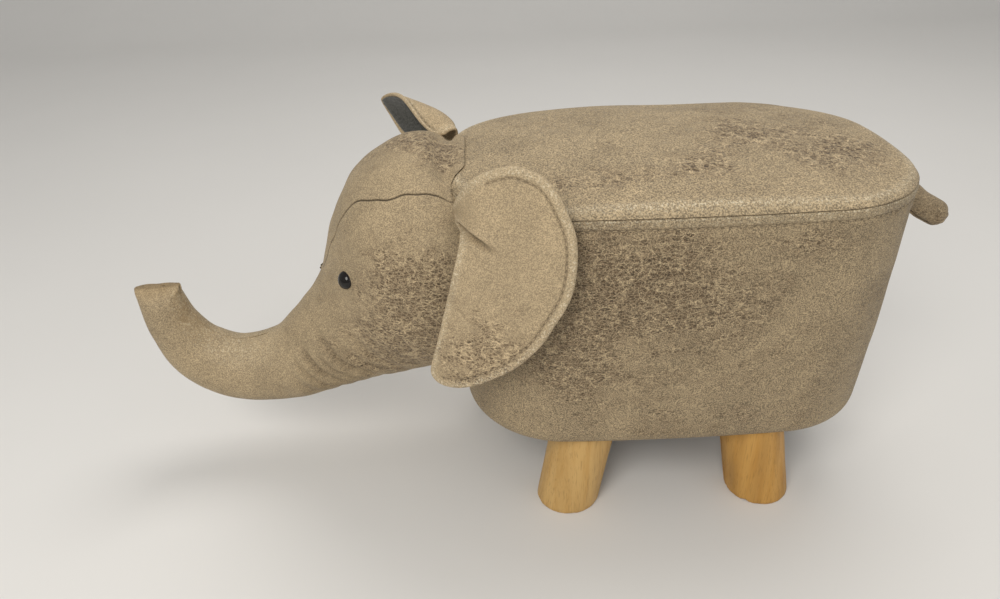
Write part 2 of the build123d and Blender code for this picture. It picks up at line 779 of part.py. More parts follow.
# ---------------------------------------------------------------- tail
def tail_form(inset):
    """Tapering stub with round ends, hanging from the middle of its root ball."""
    root = tail_root_radius - inset
    tip = tail_tip_radius - inset
    slope = (root - tip) / tail_length
    rise = sqrt(1 - slope ** 2)
    diagonal = sqrt(0.5)
    root_side = (root * rise, -root * slope)
    tip_side = (tip * rise, -tail_length - tip * slope)
    tip_end = (0, -tail_length - tip)
    profile = Curve() + [
        ThreePointArc((0, root), (root * diagonal, root * diagonal), root_side),
        Line(root_side, tip_side),
        ThreePointArc(tip_side, (tip * diagonal, -tail_length - tip * diagonal), tip_end),
        Line(tip_end, (0, root)),
    ]
    form = revolve(Plane.XZ * make_face(profile), Axis.Z)
    root_z = ridge_z - tail_root_drop
    pivot = Pos(half_length_at(root_z, 0) + tail_root_radius + neck_gap, 0, root_z)
    return pivot * Rot(0, tail_droop - 90, 0) * form


# ---------------------------------------------------------------- the whole stool
whole_head = head_form(0)
head_panel_left, head_panel_right, head_gusset = head_skins()
left_face, left_padding, left_lining = make_left_ear()
right_face, right_padding, right_lining = make_right_ear()
front_bores = neck_bolt_bores()

nodes = {
    "base_board": make_base_board(),
    "seat_board": make_seat_board(),
    "front_panel": make_end_panel(-1) - front_bores,
    "rear_panel": make_end_panel(1),
    "frame_screws": all_screws(),
    "side_wrap": make_side_wrap() - front_bores,
    "side_foam": make_side_foam() - front_bores,
    "seat_foam": make_seat_foam(),
    "cover_side": make_cover_side() - front_bores,
    "cover_top": make_cover_top(),
    "dust_cloth": make_dust_cloth(),
    "dust_cloth_staples": make_staples(),
    "hanger_bolts": make_hanger_bolts(),
    "tee_nuts": make_tee_nuts(),
    "neck_board": make_neck_board(),
    "neck_bolts": make_neck_bolts(),
    "neck_washers": make_neck_washers(),
    "neck_nuts": make_neck_nuts(),
    "head_stuffing": make_head_stuffing(),
    "head_panel_left": head_panel_left,
    "head_panel_right": head_panel_right,
    "head_gusset": head_gusset,
    "trunk_cap": make_trunk_cap(),
    "eye_left": make_eye(-1),
    "eye_right": make_eye(1),
    "eye_washers": make_eye_washers(),
    "ear_left_face": left_face,
    "ear_left_padding": left_padding,
    "ear_left_lining": left_lining,
    "ear_right_face": right_face,
    "ear_right_padding": right_padding,
    "ear_right_lining": right_lining,
    "tail_cover": tail_form(0) - tail_form(leather_thickness),
    "tail_stuffing": tail_form(leather_thickness + layer_gap),
}
for corner, (x_sign, y_sign) in corner_signs.items():
    nodes["post_" + corner] = make_post(x_sign, y_sign)
    nodes["leg_" + corner] = make_leg(x_sign, y_sign)

for name, shape in nodes.items():
    moved = Pos(overall_centre_x, 0, 0) * shape
    export_step(moved, f"parts/{name}.step")
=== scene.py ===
import math

import bmesh
import bpy
import numpy as np
from bpy.props import FloatProperty, FloatVectorProperty, PointerProperty
from mathutils import Matrix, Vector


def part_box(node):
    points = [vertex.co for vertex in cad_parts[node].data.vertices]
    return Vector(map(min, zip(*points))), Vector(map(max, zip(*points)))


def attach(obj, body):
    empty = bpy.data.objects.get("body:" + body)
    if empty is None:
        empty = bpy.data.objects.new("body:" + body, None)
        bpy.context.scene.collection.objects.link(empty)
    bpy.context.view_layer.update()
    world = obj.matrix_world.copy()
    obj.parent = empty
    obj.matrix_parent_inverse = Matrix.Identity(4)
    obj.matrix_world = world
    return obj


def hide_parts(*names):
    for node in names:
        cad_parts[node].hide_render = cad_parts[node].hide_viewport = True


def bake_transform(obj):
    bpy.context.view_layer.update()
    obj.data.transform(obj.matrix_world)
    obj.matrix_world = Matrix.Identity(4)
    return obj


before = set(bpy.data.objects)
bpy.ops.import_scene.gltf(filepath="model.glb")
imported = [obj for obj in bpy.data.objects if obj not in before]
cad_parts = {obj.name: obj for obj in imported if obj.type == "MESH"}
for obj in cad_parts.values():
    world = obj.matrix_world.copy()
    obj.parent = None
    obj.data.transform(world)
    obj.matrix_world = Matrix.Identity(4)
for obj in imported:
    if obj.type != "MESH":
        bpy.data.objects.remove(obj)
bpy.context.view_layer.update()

bl_info = {
    "name": "Upholstered Elephant Stool",
    "version": (1, 0, 0),
    "blender": (4, 2, 0),
    "location": "3D View > Sidebar > Stool",
    "description": "Builds the leather, wood and stage of an elephant footstool on its frame",
    "category": "Add Mesh",
}

MM = 0.001
TOP_LOW, TOP_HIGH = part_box("cover_top")
BAND_LOW, BAND_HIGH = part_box("cover_side")
SEAT_MIDDLE = (TOP_LOW.x + TOP_HIGH.x) / 2 / MM    # middle of the seat along X, in the frame

# Lengths below are in millimetres, from the middle of the seat and the floor.
GAP = 0.3                      # between pieces that are sewn or pressed together
SEAM_PITCH = 4.5               # from stitch to stitch
SEAM_DROP = 7.0                # of the topstitching below the ridge
LAP_END = -137.0               # where the head's leather ends over the seat
LAP_THICK = 1.3                # of that leather above the seat
HIDDEN_ROWS = 26               # of the head, where it is sewn against the body
REAR_HEIGHT = 178.0            # of the point behind the wall where those rows meet
EVENING = (0.04, 0.11, 0.21, 0.28, 0.21, 0.11, 0.04)   # weights that even out their start
CROWN_FALL = 11.0              # of the seat's crown toward the rim, by length and by width
RIM_STEEPNESS = 1.75           # of the seat's roll at the rim
BACK_SHARE = 0.75              # of an ear's thickness that lies behind its middle layer
ROOT_SHRINK = 0.32             # of an ear where it is gathered
WALL_LEAN = math.radians(2.1)  # of the side band, inward to its lower edge
EAR_ROOT = (-144.915, 65.2428, 231.437)    # where the right ear is sewn on
EYE_PLACE = (-218.13, 48.71, 180.53)       # of the right eye, on the head's surface
EYE_RADIUS, EYE_DOME = 6.2, 4.4
TAIL_PIVOT = (158.80995, 0, 213.0)
TAIL_DROOP = math.radians(33)
LEG_RADIUS = 22.5
LEG_TOP = (60, 64)             # a leg's middle at the underside, out from the seat's
LEG_SPREAD = (0.178, 0.061)    # how far a leg leans outward for its height
CRACK_ANGLE = math.radians(-160)           # of the crack in one rear leg
CLOTH_INSET = 14.0             # of the dust cloth from the side band's lower edge
VIEW_TARGET = (-29.69, 0.634, 131.48)
VIEW_DISTANCE = 561.70
VIEW_LENS = 27.045             # on a sensor 36 wide
VIEW_ELEVATION, VIEW_AZIMUTH, VIEW_ROLL = map(math.radians, (30.533, -1.330, 1.783))
HEAD_STATIONS = np.array((     # x, z, half height, width share
    (-94, 227, 3, .99), (-98, 224, 16, .99), (-104, 219, 35, .99), (-121, 206, 56.5, .99),
    (-131, 198, 77, .99), (-155, 175, 84, .94), (-182, 151, 74, .93), (-214, 124, 52, .92),
    (-248, 102, 37, .95), (-279, 86, 29.5, 1), (-317, 82.5, 25.5, 1), (-345, 97, 22.5, 1),
    (-359, 121, 18.5, 1), (-364.2, 145, 16, .93), (-364.7, 155.3, 16.7, .22),
), dtype=float)
WRINKLES = (                   # place among the stations, depth, width, lean and upper end
    (6.75, 0.9, 0.12, -0.05, 0.3), (7.05, 1.6, 0.10, -0.08, 0.50), (7.33, 1.5, 0.08, -0.1, 0.40),
    (7.60, 2.8, 0.09, -0.10, 0.75), (7.85, 1.9, 0.07, -0.10, 0.4), (8.08, 2.9, 0.09, -0.1, 0.70),
    (8.38, 2.3, 0.08, -0.04, 0.55), (8.70, 1.1, 0.09, 0.0, 0.3), (9.20, 0.4, 0.10, 0.0, 0.1),
    (10.1, 0.3, 0.11, 0.0, 0.2), (10.9, 0.25, 0.11, 0.0, 0.2), (12.2, 0.3, 0.10, -0.1, 0.6),
)
GUSSET_SEAM = np.array((       # x, and distance from the middle plane
    (-100, 55), (-125, 55.5), (-153.4, 54.9), (-165.4, 56.2), (-174.6, 54.7), (-181.5, 54),
    (-190, 50.5), (-199.1, 45.1), (-207.5, 39.3), (-218, 34.2), (-231.5, 23.9), (-236, 20),
    (-243, 9), (-246, 0),
), dtype=float)


# ---------------------------------------------------------------- number helpers
def placed(points):
    """Points moved from the middle of the seat into the frame, in metres."""
    return (np.asarray(points, dtype=float) + (SEAT_MIDDLE, 0, 0)) * MM


def ease(x, low, high):
    """Cubic step: 0 up to low, 1 from high on, and smooth between them."""
    t = np.clip((x - low) / (high - low), 0, 1)
    return t * t * (3 - 2 * t)


def hill(x, width):
    """Bell curve of height 1 about 0: the exponential of minus the square of x over width."""
    return np.exp(-(x / width) ** 2)


def unit(vectors):
    """Vectors divided by their lengths."""
    length = np.linalg.norm(vectors, axis=-1, keepdims=True)
    return vectors / np.maximum(length, 1e-12)


def with_ends(knots):
    """Knots with one more before and after them, straight on from the ends."""
    return np.concatenate([2 * knots[:1] - knots[1:2], knots, 2 * knots[-1:] - knots[-2:-1]])


def spline(knots, count, closed=False):
    """Catmull-Rom curve: each stretch between two knots is the cubic that has, at its ends, half
    the step between the neighbours on either side as its slope."""
    knots = np.asarray(knots, dtype=float)
    if closed:
        return spline_at(np.concatenate([knots[-1:], knots, knots[:2]]),
                         np.arange(count) / count * len(knots))
    return spline_at(with_ends(knots), np.linspace(0, len(knots) - 1, count))


def spline_at(held, at):
    """Catmull-Rom curve through knots, held by one more before and after, at given places."""
    step = np.clip(np.floor(at).astype(int), 0, len(held) - 4)
    t = (at - step)[..., None]
    a, b, c, d = (held[step + k] for k in range(4))
    return 0.5 * (2 * b + (c - a) * t + (2 * a - 5 * b + 4 * c - d) * t ** 2
                  + (3 * b - a - 3 * c + d) * t ** 3)


def lengths_along(points):
    """How far each point lies along its line, from the first."""
    return np.concatenate([[0], np.cumsum(np.linalg.norm(np.diff(points, axis=0), axis=1))])


def turns(count):
    """Angles equally far apart round a full turn."""
    return np.arange(count) / count * 2 * math.pi


def lifted(flat, height):
    """Flat points with their heights."""
    return np.concatenate([flat, np.broadcast_to(height, flat.shape[:-1])[..., None]], axis=-1)


def quarter_round(gap, radius):
    """Height of a round edge by the distance in from it: a quarter circle, then level."""
    return radius * np.sqrt(np.clip(1 - (1 - np.clip(gap / radius, 0, 1)) ** 2, 0, 1))


def evenly(curve, count, closed=False):
    """The same curve with its points equally far apart."""
    if closed:
        curve = np.concatenate([curve, curve[:1]])
    run = lengths_along(curve)
    at = np.linspace(0, run[-1], count + 1)[:-1] if closed else np.linspace(0, run[-1], count)
    return np.stack([np.interp(at, run, curve[:, k]) for k in range(curve.shape[1])], axis=-1)


def ripple(points, wavelength, seed, waves=20):
    """Smooth unevenness: a sum of sine waves of about one length in fixed chance directions,
    scaled to swing between about -1 and 1."""
    rng = np.random.default_rng(seed)
    direction = unit(rng.normal(size=(waves, points.shape[-1])))
    number = 2 * math.pi / wavelength * rng.uniform(0.7, 1.4, size=(waves, 1))
    phase = rng.uniform(0, 2 * math.pi, size=waves)
    return np.sin(points @ (direction * number).T + phase).sum(axis=-1) / math.sqrt(waves) / 1.4


def grid_normals(grid, loop_u, loop_v):
    """Unit normals of a grid of points, from the cross product of the differences along it."""
    def slope(axis, loop):
        if loop:
            return np.roll(grid, -1, axis) - np.roll(grid, 1, axis)
        return np.gradient(grid, axis=axis)
    return unit(np.cross(slope(0, loop_u), slope(1, loop_v)))


def edge_distance(points, outline):
    """Distance of flat points from a closed outline: the least over its straight pieces."""
    start = outline
    along = np.roll(outline, -1, axis=0) - start
    square = np.maximum((along ** 2).sum(axis=1), 1e-12)
    best = np.full(len(points), np.inf)
    for low in range(0, len(start), 64):
        part = slice(low, low + 64)
        offset = points[:, None, :] - start[None, part]
        t = np.clip((offset * along[part]).sum(axis=2) / square[part], 0, 1)
        gap = np.linalg.norm(offset - t[..., None] * along[part], axis=2)
        best = np.minimum(best, gap.min(axis=1))
    return best


def stretch_distance(points, start, end):
    """Distance of flat points from a straight stretch, the side they lie on and how far along."""
    along = np.subtract(end, start)
    length = np.linalg.norm(along)
    offset = points - start
    t = (offset @ along) / length ** 2
    side = (offset[..., 0] * along[1] - offset[..., 1] * along[0]) / length
    near = offset - np.clip(t, 0, 1)[..., None] * along
    return np.linalg.norm(near, axis=-1), side, t


# ---------------------------------------------------------------- mesh helpers
def linked(name, mesh):
    """A smooth object of a mesh, at the origin."""
    mesh.polygons.foreach_set("use_smooth", np.ones(len(mesh.polygons), dtype=bool))
    mesh.update()
    obj = bpy.data.objects.new(name, mesh)
    bpy.context.scene.collection.objects.link(obj)
    return obj


def cleaned(mesh, work_on):
    """Runs one step of mesh editing over the whole mesh."""
    work = bmesh.new()
    work.from_mesh(mesh)
    work_on(work)
    work.to_mesh(mesh)
    work.free()


def surface(name, grid, loop_u=False, loop_v=True, marks=None):
    """Mesh of a grid of points in millimetres: a four-sided face between each pair of
    neighbouring rows and columns. Rows that shrink to a point are merged into one, and the
    faces are turned outward, which is where the enclosed volume is positive."""
    rows, columns = grid.shape[:2]
    index = np.arange(rows * columns).reshape(rows, columns)
    index_u = np.concatenate([index, index[:1]]) if loop_u else index
    index_uv = np.concatenate([index_u, index_u[:, :1]], axis=1) if loop_v else index_u
    faces = np.stack([index_uv[:-1, :-1], index_uv[1:, :-1], index_uv[1:, 1:], index_uv[:-1, 1:]],
                     axis=-1).reshape(-1, 4)
    points = placed(grid.reshape(-1, 3))
    a, b, c, d = (points[faces[:, k]] for k in range(4))
    volume = (a * np.cross(b, c)).sum() + (a * np.cross(c, d)).sum()
    if volume < 0:
        faces = faces[:, ::-1]
    mesh = bpy.data.meshes.new(name)
    mesh.from_pydata(points.tolist(), [], faces.tolist())
    for mark, values in (marks or {}).items():
        layer = mesh.attributes.new(mark, "FLOAT", "POINT")
        layer.data.foreach_set("value", np.asarray(values, dtype=np.float32).reshape(-1))
    cleaned(mesh, lambda work: bmesh.ops.remove_doubles(work, verts=work.verts, dist=1e-7))
    return linked(name, mesh)


def finished(obj, material, body="stool"):
    """A piece with its material and the body that it rides on."""
    obj.data.materials.append(material)
    if body:
        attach(obj, body)


def beads(name, centres, along, outward, size):
    """Small rounded grains, one for each stitch: a ball of a few faces, drawn out along the
    seam and flattened against the leather. The size is its length, width and rise."""
    sides = 6
    levels = np.array((-0.94, -0.5, 0.5, 0.94))
    ring = np.sqrt(1 - levels ** 2)
    ball = np.stack([
        np.repeat(levels[:, None], sides, axis=1),
        ring[:, None] * np.cos(turns(sides)),
        ring[:, None] * np.sin(turns(sides)),
    ], axis=-1).reshape(-1, 3) * size / 2
    axes = np.stack([unit(along), unit(np.cross(outward, along)), unit(outward)], axis=1)
    points = centres[:, None, :] + np.einsum("vk,nkc->nvc", ball, axes)
    first = np.arange(sides)
    following = (first + 1) % sides
    band = np.stack([first, following, sides + following, sides + first], axis=-1)
    one = np.concatenate([band + sides * level for level in range(len(levels) - 1)])
    ends = np.stack([first[::-1], first + len(ball) - sides])
    skip = len(ball) * np.arange(len(centres))[:, None, None]
    faces = (one + skip).reshape(-1, 4).tolist() + (ends + skip).reshape(-1, sides).tolist()
    mesh = bpy.data.meshes.new(name)
    mesh.from_pydata(placed(points.reshape(-1, 3)).tolist(), [], faces)
    cleaned(mesh, lambda work: bmesh.ops.recalc_face_normals(work, faces=work.faces))
    return linked(name, mesh)


def pressed_clear(obj, target):
    """Moves whatever of a piece lies inside another out to a small gap from its surface."""
    press = obj.modifiers.new("press", "SHRINKWRAP")
    press.target = target
    press.wrap_method = "NEAREST_SURFACEPOINT"
    press.wrap_mode = "OUTSIDE"
    press.offset = GAP * MM
    with bpy.context.temp_override(object=obj, active_object=obj):
        bpy.ops.object.modifier_apply(modifier=press.name)


# ---------------------------------------------------------------- materials
class Shader:
    """Lays out the nodes of one material. A socket is named with _ for each space."""

    def __init__(self, name, roughness, **sockets):
        self.material = bpy.data.materials.new(name)
        self.material.use_nodes = True
        self.tree = self.material.node_tree
        self.tree.nodes.clear()
        self.surface = self.node("BsdfPrincipled", Roughness=roughness, **sockets)
        self.tree.links.new(self.surface.outputs[0], self.node("OutputMaterial").inputs[0])
        self.coords = self.node("TexCoord").outputs["Object"]

    def put(self, value, socket):
        """Links an output to a socket, or sets a plain value on it."""
        if isinstance(value, bpy.types.NodeSocket):
            self.tree.links.new(value, socket)
        else:
            socket.default_value = value

    def node(self, kind, settings=None, **sockets):
        """A node of one kind with its settings, and what goes to its sockets."""
        node = self.tree.nodes.new("ShaderNode" + kind)
        for name, value in (settings or {}).items():
            setattr(node, name, value)
        for name, value in sockets.items():
            self.put(value, node.inputs[name.replace("_", " ")])
        return node

    def stretched(self, scale):
        """Object coordinates scaled along each axis."""
        return self.node("Mapping", Scale=scale, Vector=self.coords).outputs[0]

    def moved(self, vector, by, amount):
        """Coordinates pushed about by a colour, to bend a pattern."""
        push = self.node("VectorMath", {"operation": "MULTIPLY_ADD"})
        for value, socket in zip((by, (amount, amount, amount), vector), push.inputs):
            self.put(value, socket)
        return push.outputs[0]

    def noise(self, size, detail=3, rough=0.5, vector=None, colour=False):
        """Cloudy noise whose features are about this many millimetres across."""
        node = self.node("TexNoise", Scale=1 / (size * MM), Detail=detail, Roughness=rough,
                         Vector=vector or self.coords)
        return node.outputs["Color" if colour else "Fac"]

    def cells(self, size, vector):
        """Distance from the borders of cells about this many millimetres across."""
        node = self.node("TexVoronoi", {"feature": "DISTANCE_TO_EDGE"}, Scale=1 / (size * MM),
                         Vector=vector)
        return node.outputs["Distance"]

    def mark(self, name):
        """A value stored on the points of the mesh, or 0 where there is none."""
        return self.node("Attribute", {"attribute_name": name}).outputs["Fac"]

    def calc(self, operation, a, b):
        """One step of arithmetic."""
        node = self.node("Math", {"operation": operation})
        for value, socket in zip((a, b), node.inputs):
            self.put(value, socket)
        return node.outputs[0]

    def times(self, first, *others):
        """Values multiplied together."""
        for other in others:
            first = self.calc("MULTIPLY", first, other)
        return first

    def plus(self, first, *others):
        """Values added up."""
        for other in others:
            first = self.calc("ADD", first, other)
        return first

    def swing(self, value, amount):
        """Noise about its middle, 0.5, as a swing of this amount about 0."""
        return self.times(self.calc("SUBTRACT", value, 0.5), amount)

    def without(self, value, taken):
        """A value less the share of it that another takes."""
        return self.times(value, self.calc("SUBTRACT", 1.0, taken))

    def span(self, value, low, high, to_low=0.0, to_high=1.0):
        """Smooth step of a value from one range to another."""
        return self.node("MapRange", {"interpolation_type": "SMOOTHSTEP"}, Value=value,
                         From_Min=low, From_Max=high, To_Min=to_low,
                         To_Max=to_high).outputs["Result"]

    def blend(self, factor, a, b, kind="MIX"):
        """Mix of two colours."""
        node = self.node("Mix", {"data_type": "RGBA", "blend_type": kind})
        for value, at in ((factor, 0), (a, 6), (b, 7)):
            self.put(value, node.inputs[at])
        return node.outputs[2]

    def relief(self, height, depth, strength):
        """Bump from a height of 0 to 1, this many millimetres deep."""
        return self.node("Bump", Strength=strength, Distance=depth * MM, Height=height).outputs[0]

    def done(self, colour, roughness=None, normal=None):
        """Joins the results to the surface and gives the material."""
        for socket, value in (("Base Color", colour), ("Roughness", roughness),
                              ("Normal", normal)):
            if value is not None:
                self.put(value, self.surface.inputs[socket])
        return self.material


def tint(colour, factor=1.0):
    """A colour made lighter or darker by a factor, for a node."""
    return (*[factor * part for part in colour], 1)


def grey(value):
    """A grey of this value, for a node."""
    return (value, value, value, 1)


def leatherette(name, light, grain=1.0, size=1.0):
    """Brushed, crackled imitation leather: a gritty nap all over, short dark dashes, and where
    the mark 'worn' is high, brown patches crossed by a broken net of pale cracks. Where the
    mark 'sheen' is high, pale specks are painted in as highlights, and where the mark 'seam'
    is high, the colour darkens as painted shade. The size spreads the whole pattern, and the
    grain makes the nap stronger."""
    s = Shader(name, 0.62, Specular_IOR_Level=0.3, Sheen_Weight=0.04, Sheen_Roughness=0.5)
    worn = colours().leather_worn
    cloud = s.noise(34, 4, 0.6)
    patch = s.noise(8 * size, 4, 0.6, s.stretched((0.42, 0.45, 1.0)))
    grit = s.noise(0.72 * size, 2, 0.7)
    fleck = s.noise(1.6 * size, 3, 0.6, s.stretched((0.6, 0.5, 1.0)))
    dash = s.noise(1.25 * size, 2, 0.6, s.stretched((0.24, 0.42, 1.0)))
    bend = s.noise(4.5 * size, 3, 0.65, colour=True)
    net = s.cells(3.3 * size, s.moved(s.stretched((0.50, 0.5, 1.0)), bend, 4.0 * size * MM))
    fine_net = s.cells(1.9 * size, s.moved(s.stretched((0.65, 0.6, 1.0)), bend, 2.6 * size * MM))
    broken = s.span(s.noise(7 * size, 3, 0.6), 0.40, 0.54)
    healed = s.calc("MAXIMUM", s.times(s.span(net, 0.03, 0.17, 1.0, 0.0), broken),
                    s.times(s.span(fine_net, 0.03, 0.20, 1.0, 0.0), 0.5))
    wear = s.span(s.plus(s.mark("worn"), s.swing(cloud, 0.7), s.swing(patch, 1.35)), 0.12, 0.86)
    brown = s.without(wear, s.times(healed, 0.95))
    dashes = s.without(s.times(s.span(dash, 0.51, 0.60), s.span(wear, 0.0, 0.7, 0.12, 0.95)),
                       healed)
    base = s.blend(s.span(cloud, 0.35, 0.65), tint(light), tint(light, 0.86))
    base = s.blend(s.times(wear, 0.28), base, tint(worn, 1.3))
    base = s.blend(s.times(brown, 0.82), base, tint(worn))
    base = s.blend(s.times(dashes, 0.7), base, tint(worn, 0.68))
    base = s.blend(s.times(healed, s.span(wear, 0.1, 0.6), 0.85), base, tint(light, 1.22))
    tooth = s.blend(s.span(grit, 0.40, 0.60), grey(1 - 0.36 * grain), grey(1 + 0.28 * grain))
    coarse = s.blend(s.span(fleck, 0.38, 0.62), grey(1 - 0.07 * grain), grey(1 + 0.05 * grain))
    base = s.blend(1.0, s.blend(1.0, base, tooth, "MULTIPLY"), coarse, "MULTIPLY")
    base = s.blend(s.times(s.mark("stain"), 0.7), base,
                   (light[0] * 0.62, light[1] * 0.50, light[2] * 0.30, 1))
    # Painted highlight: where the mark 'sheen' is high, pale specks stand in for glints of light on
    # the leather; the same mark also lowers the roughness below.
    painted_glints = s.times(s.mark("sheen"), s.span(s.noise(1.3, 2, 0.5), 0.52, 0.66, 0.15, 1.2))
    base = s.blend(painted_glints, base, (0.84, 0.74, 0.54, 1))
    # Painted shade: where the mark 'seam' is high the colour goes to a quarter of the worn colour,
    # standing in for the shade in seam grooves, tucks and creases.
    base = s.blend(s.mark("seam"), base, tint(worn, 0.25))
    height = s.plus(s.times(fleck, 0.4), s.times(grit, 0.6), s.times(healed, wear, 0.7))
    rough = s.span(s.calc("SUBTRACT", fleck, s.times(s.mark("sheen"), 0.2)), 0.25, 0.6,
                   0.45, 0.75)
    return s.done(base, rough, s.relief(height, 0.8 * grain, 0.85))


def thread(name, colour):
    """Twisted sewing thread."""
    s = Shader(name, 0.6, Sheen_Weight=0.2)
    twist = s.noise(0.5, 2, 0.5)
    tone = s.blend(s.span(twist, 0.35, 0.65), tint(colour, 0.72), tint(colour))
    return s.done(tone, None, s.relief(twist, 0.15, 0.6))


def felt(name, colour):
    """Short matted felt: loose fibres a little lighter than the ground."""
    s = Shader(name, 0.95, Specular_IOR_Level=0.15, Sheen_Weight=0.35, Sheen_Roughness=0.6)
    fibre = s.noise(1.1, 4, 0.75, s.moved(s.coords, s.noise(3, 2, 0.5, colour=True), 3 * MM))
    tone = s.blend(s.span(fibre, 0.35, 0.7), tint(colour, 0.6), tint(colour, 1.7))
    tone = s.blend(s.span(s.noise(9, 3, 0.6), 0.35, 0.7, 0.0, 0.35), tone, tint(colour, 1.5))
    return s.done(tone, None, s.relief(fibre, 0.6, 0.8))


def plain_cloth(name, colour, size, depth):
    """Non-woven, foamed or stuffed material: blotchy at one scale, with a bump to match."""
    s = Shader(name, 0.9, Specular_IOR_Level=0.2)
    web = s.noise(size, 3, 0.6)
    tone = s.blend(s.span(web, 0.35, 0.65), tint(colour, 0.75), tint(colour))
    return s.done(tone, None, s.relief(web, depth, 0.7))


def wood(name, pale, dark, along=(0, 0, 1), ring=5.0, mottle=0.4):
    """Turned or sawn wood: growth rings drawn out along the grain, with fine dark pores."""
    s = Shader(name, 0.5, Specular_IOR_Level=0.35)
    drawn = s.stretched([1 - 0.93 * part for part in along])
    broad = s.noise(22, 3, 0.5, drawn)
    rings = s.noise(ring, 4, 0.6, s.moved(drawn, s.noise(40, 2, 0.5, drawn, colour=True), 12 * MM))
    pores = s.noise(0.8, 2, 0.5, drawn)
    tone = s.blend(s.span(rings, 0.35, 0.75, 0.0, 0.8), tint(pale), tint(dark))
    tone = s.blend(s.span(broad, 0.4, 0.7, 0.0, mottle), tone, tint(dark, 0.75))
    tone = s.blend(s.span(pores, 0.52, 0.72, 0.0, 0.35), tone, tint(dark, 0.45))
    tone = s.blend(s.mark("scorch"), tone, (0.16, 0.075, 0.02, 1))
    tone = s.blend(s.mark("crack"), tone, (0.03, 0.015, 0.006, 1))
    return s.done(tone, s.span(rings, 0.3, 0.7, 0.42, 0.6),
                  s.relief(s.plus(rings, pores), 0.25, 0.35))


def metal(name, colour):
    """Zinc-plated steel with faint drawing marks."""
    s = Shader(name, 0.35, Metallic=1.0)
    marks = s.noise(1.5, 3, 0.6)
    tone = s.blend(s.span(marks, 0.3, 0.7), tint(colour, 0.8), tint(colour))
    return s.done(tone, s.span(marks, 0.3, 0.7, 0.28, 0.45), s.relief(marks, 0.05, 0.4))


def glossy(name, colour):
    """Moulded plastic with a polished skin."""
    s = Shader(name, 0.08, Specular_IOR_Level=0.4)
    haze = s.noise(2.0, 2, 0.5)
    tone = s.blend(s.span(haze, 0.4, 0.7), tint(colour), tint(colour, 1.6))
    return s.done(tone, s.span(haze, 0.4, 0.8, 0.06, 0.12))


# ---------------------------------------------------------------- settings
def length_setting(name, description, value):
    """A length in metres, with its default worked out in millimetres."""
    return FloatProperty(name=name, description=description, default=value * MM, min=0.0,
                         subtype="DISTANCE", unit="LENGTH")


def colour_setting(name, description, value):
    """A colour, as linear red, green and blue."""
    return FloatVectorProperty(name=name, description=description, default=value, size=3,
                               min=0.0, max=1.0, subtype="COLOR")


class StoolSizes(bpy.types.PropertyGroup):
    """Sizes of the soft covering and its seams."""
    half_length: length_setting("Half Length", "Half of the seat's length at the ridge",
                                (TOP_HIGH.x - TOP_LOW.x) / 2 / MM)
    half_width: length_setting("Half Width", "Half of the seat's width at the ridge",
                               (TOP_HIGH.y - TOP_LOW.y) / 2 / MM)
    ridge: length_setting("Ridge", "Height of the seam between the side band and the seat",
                          BAND_HIGH.z / MM)
    crown: length_setting("Crown", "Rise of the seat's middle above the ridge",
                          (TOP_HIGH.z - BAND_HIGH.z) / MM)
    underside: length_setting("Underside", "Height of the side band's lower edge",
                              BAND_LOW.z / MM)
    lower_radius: length_setting("Lower Radius", "Roundness of the side band's lower edge", 15.0)
    band_thickness: length_setting("Band Thickness", "Leather and foam of the side band", 7.2)
    seam_depth: length_setting("Seam Depth", "How deep the topstitching draws in", 0.7)
    ear_padding: length_setting("Ear Padding", "How far the middle of an ear stands proud", 1.9)


class StoolColours(bpy.types.PropertyGroup):
    """Colours of the covering, the felt and the legs."""
    leather: colour_setting("Leather", "Unworn leather of the seat, sides and head",
                            (0.425, 0.328, 0.200))
    # At a quarter of its value this colour is also the painted shade in seams and creases.
    leather_worn: colour_setting("Worn Leather", "Patches where the nap is rubbed off",
                                 (0.125, 0.082, 0.045))
    trim: colour_setting("Trim", "Smoother leather of the ears and tail", (0.49, 0.378, 0.232))
    felt: colour_setting("Felt", "Lining of the ears", (0.062, 0.062, 0.055))
    leg_pale: colour_setting("Front Legs", "Pale wood of the front legs", (0.60, 0.385, 0.145))
    leg_deep: colour_setting("Rear Legs", "Deeper wood of the rear legs", (0.56, 0.31, 0.08))
    floor: colour_setting("Floor", "Floor and backdrop", (0.78, 0.77, 0.75))


class StoolSettings(bpy.types.PropertyGroup):
    """Everything that can be changed on the stool."""
    sizes: PointerProperty(name="Sizes", description="Sizes of the covering", type=StoolSizes)
    colours: PointerProperty(name="Colours", description="Colours of the pieces",
                             type=StoolColours)


def length_of(name):
    """One of the stool's sizes, in millimetres."""
    return getattr(bpy.context.scene.elephant_stool.sizes, name) / MM


def colours():
    """The stool's colours."""
    return bpy.context.scene.elephant_stool.colours


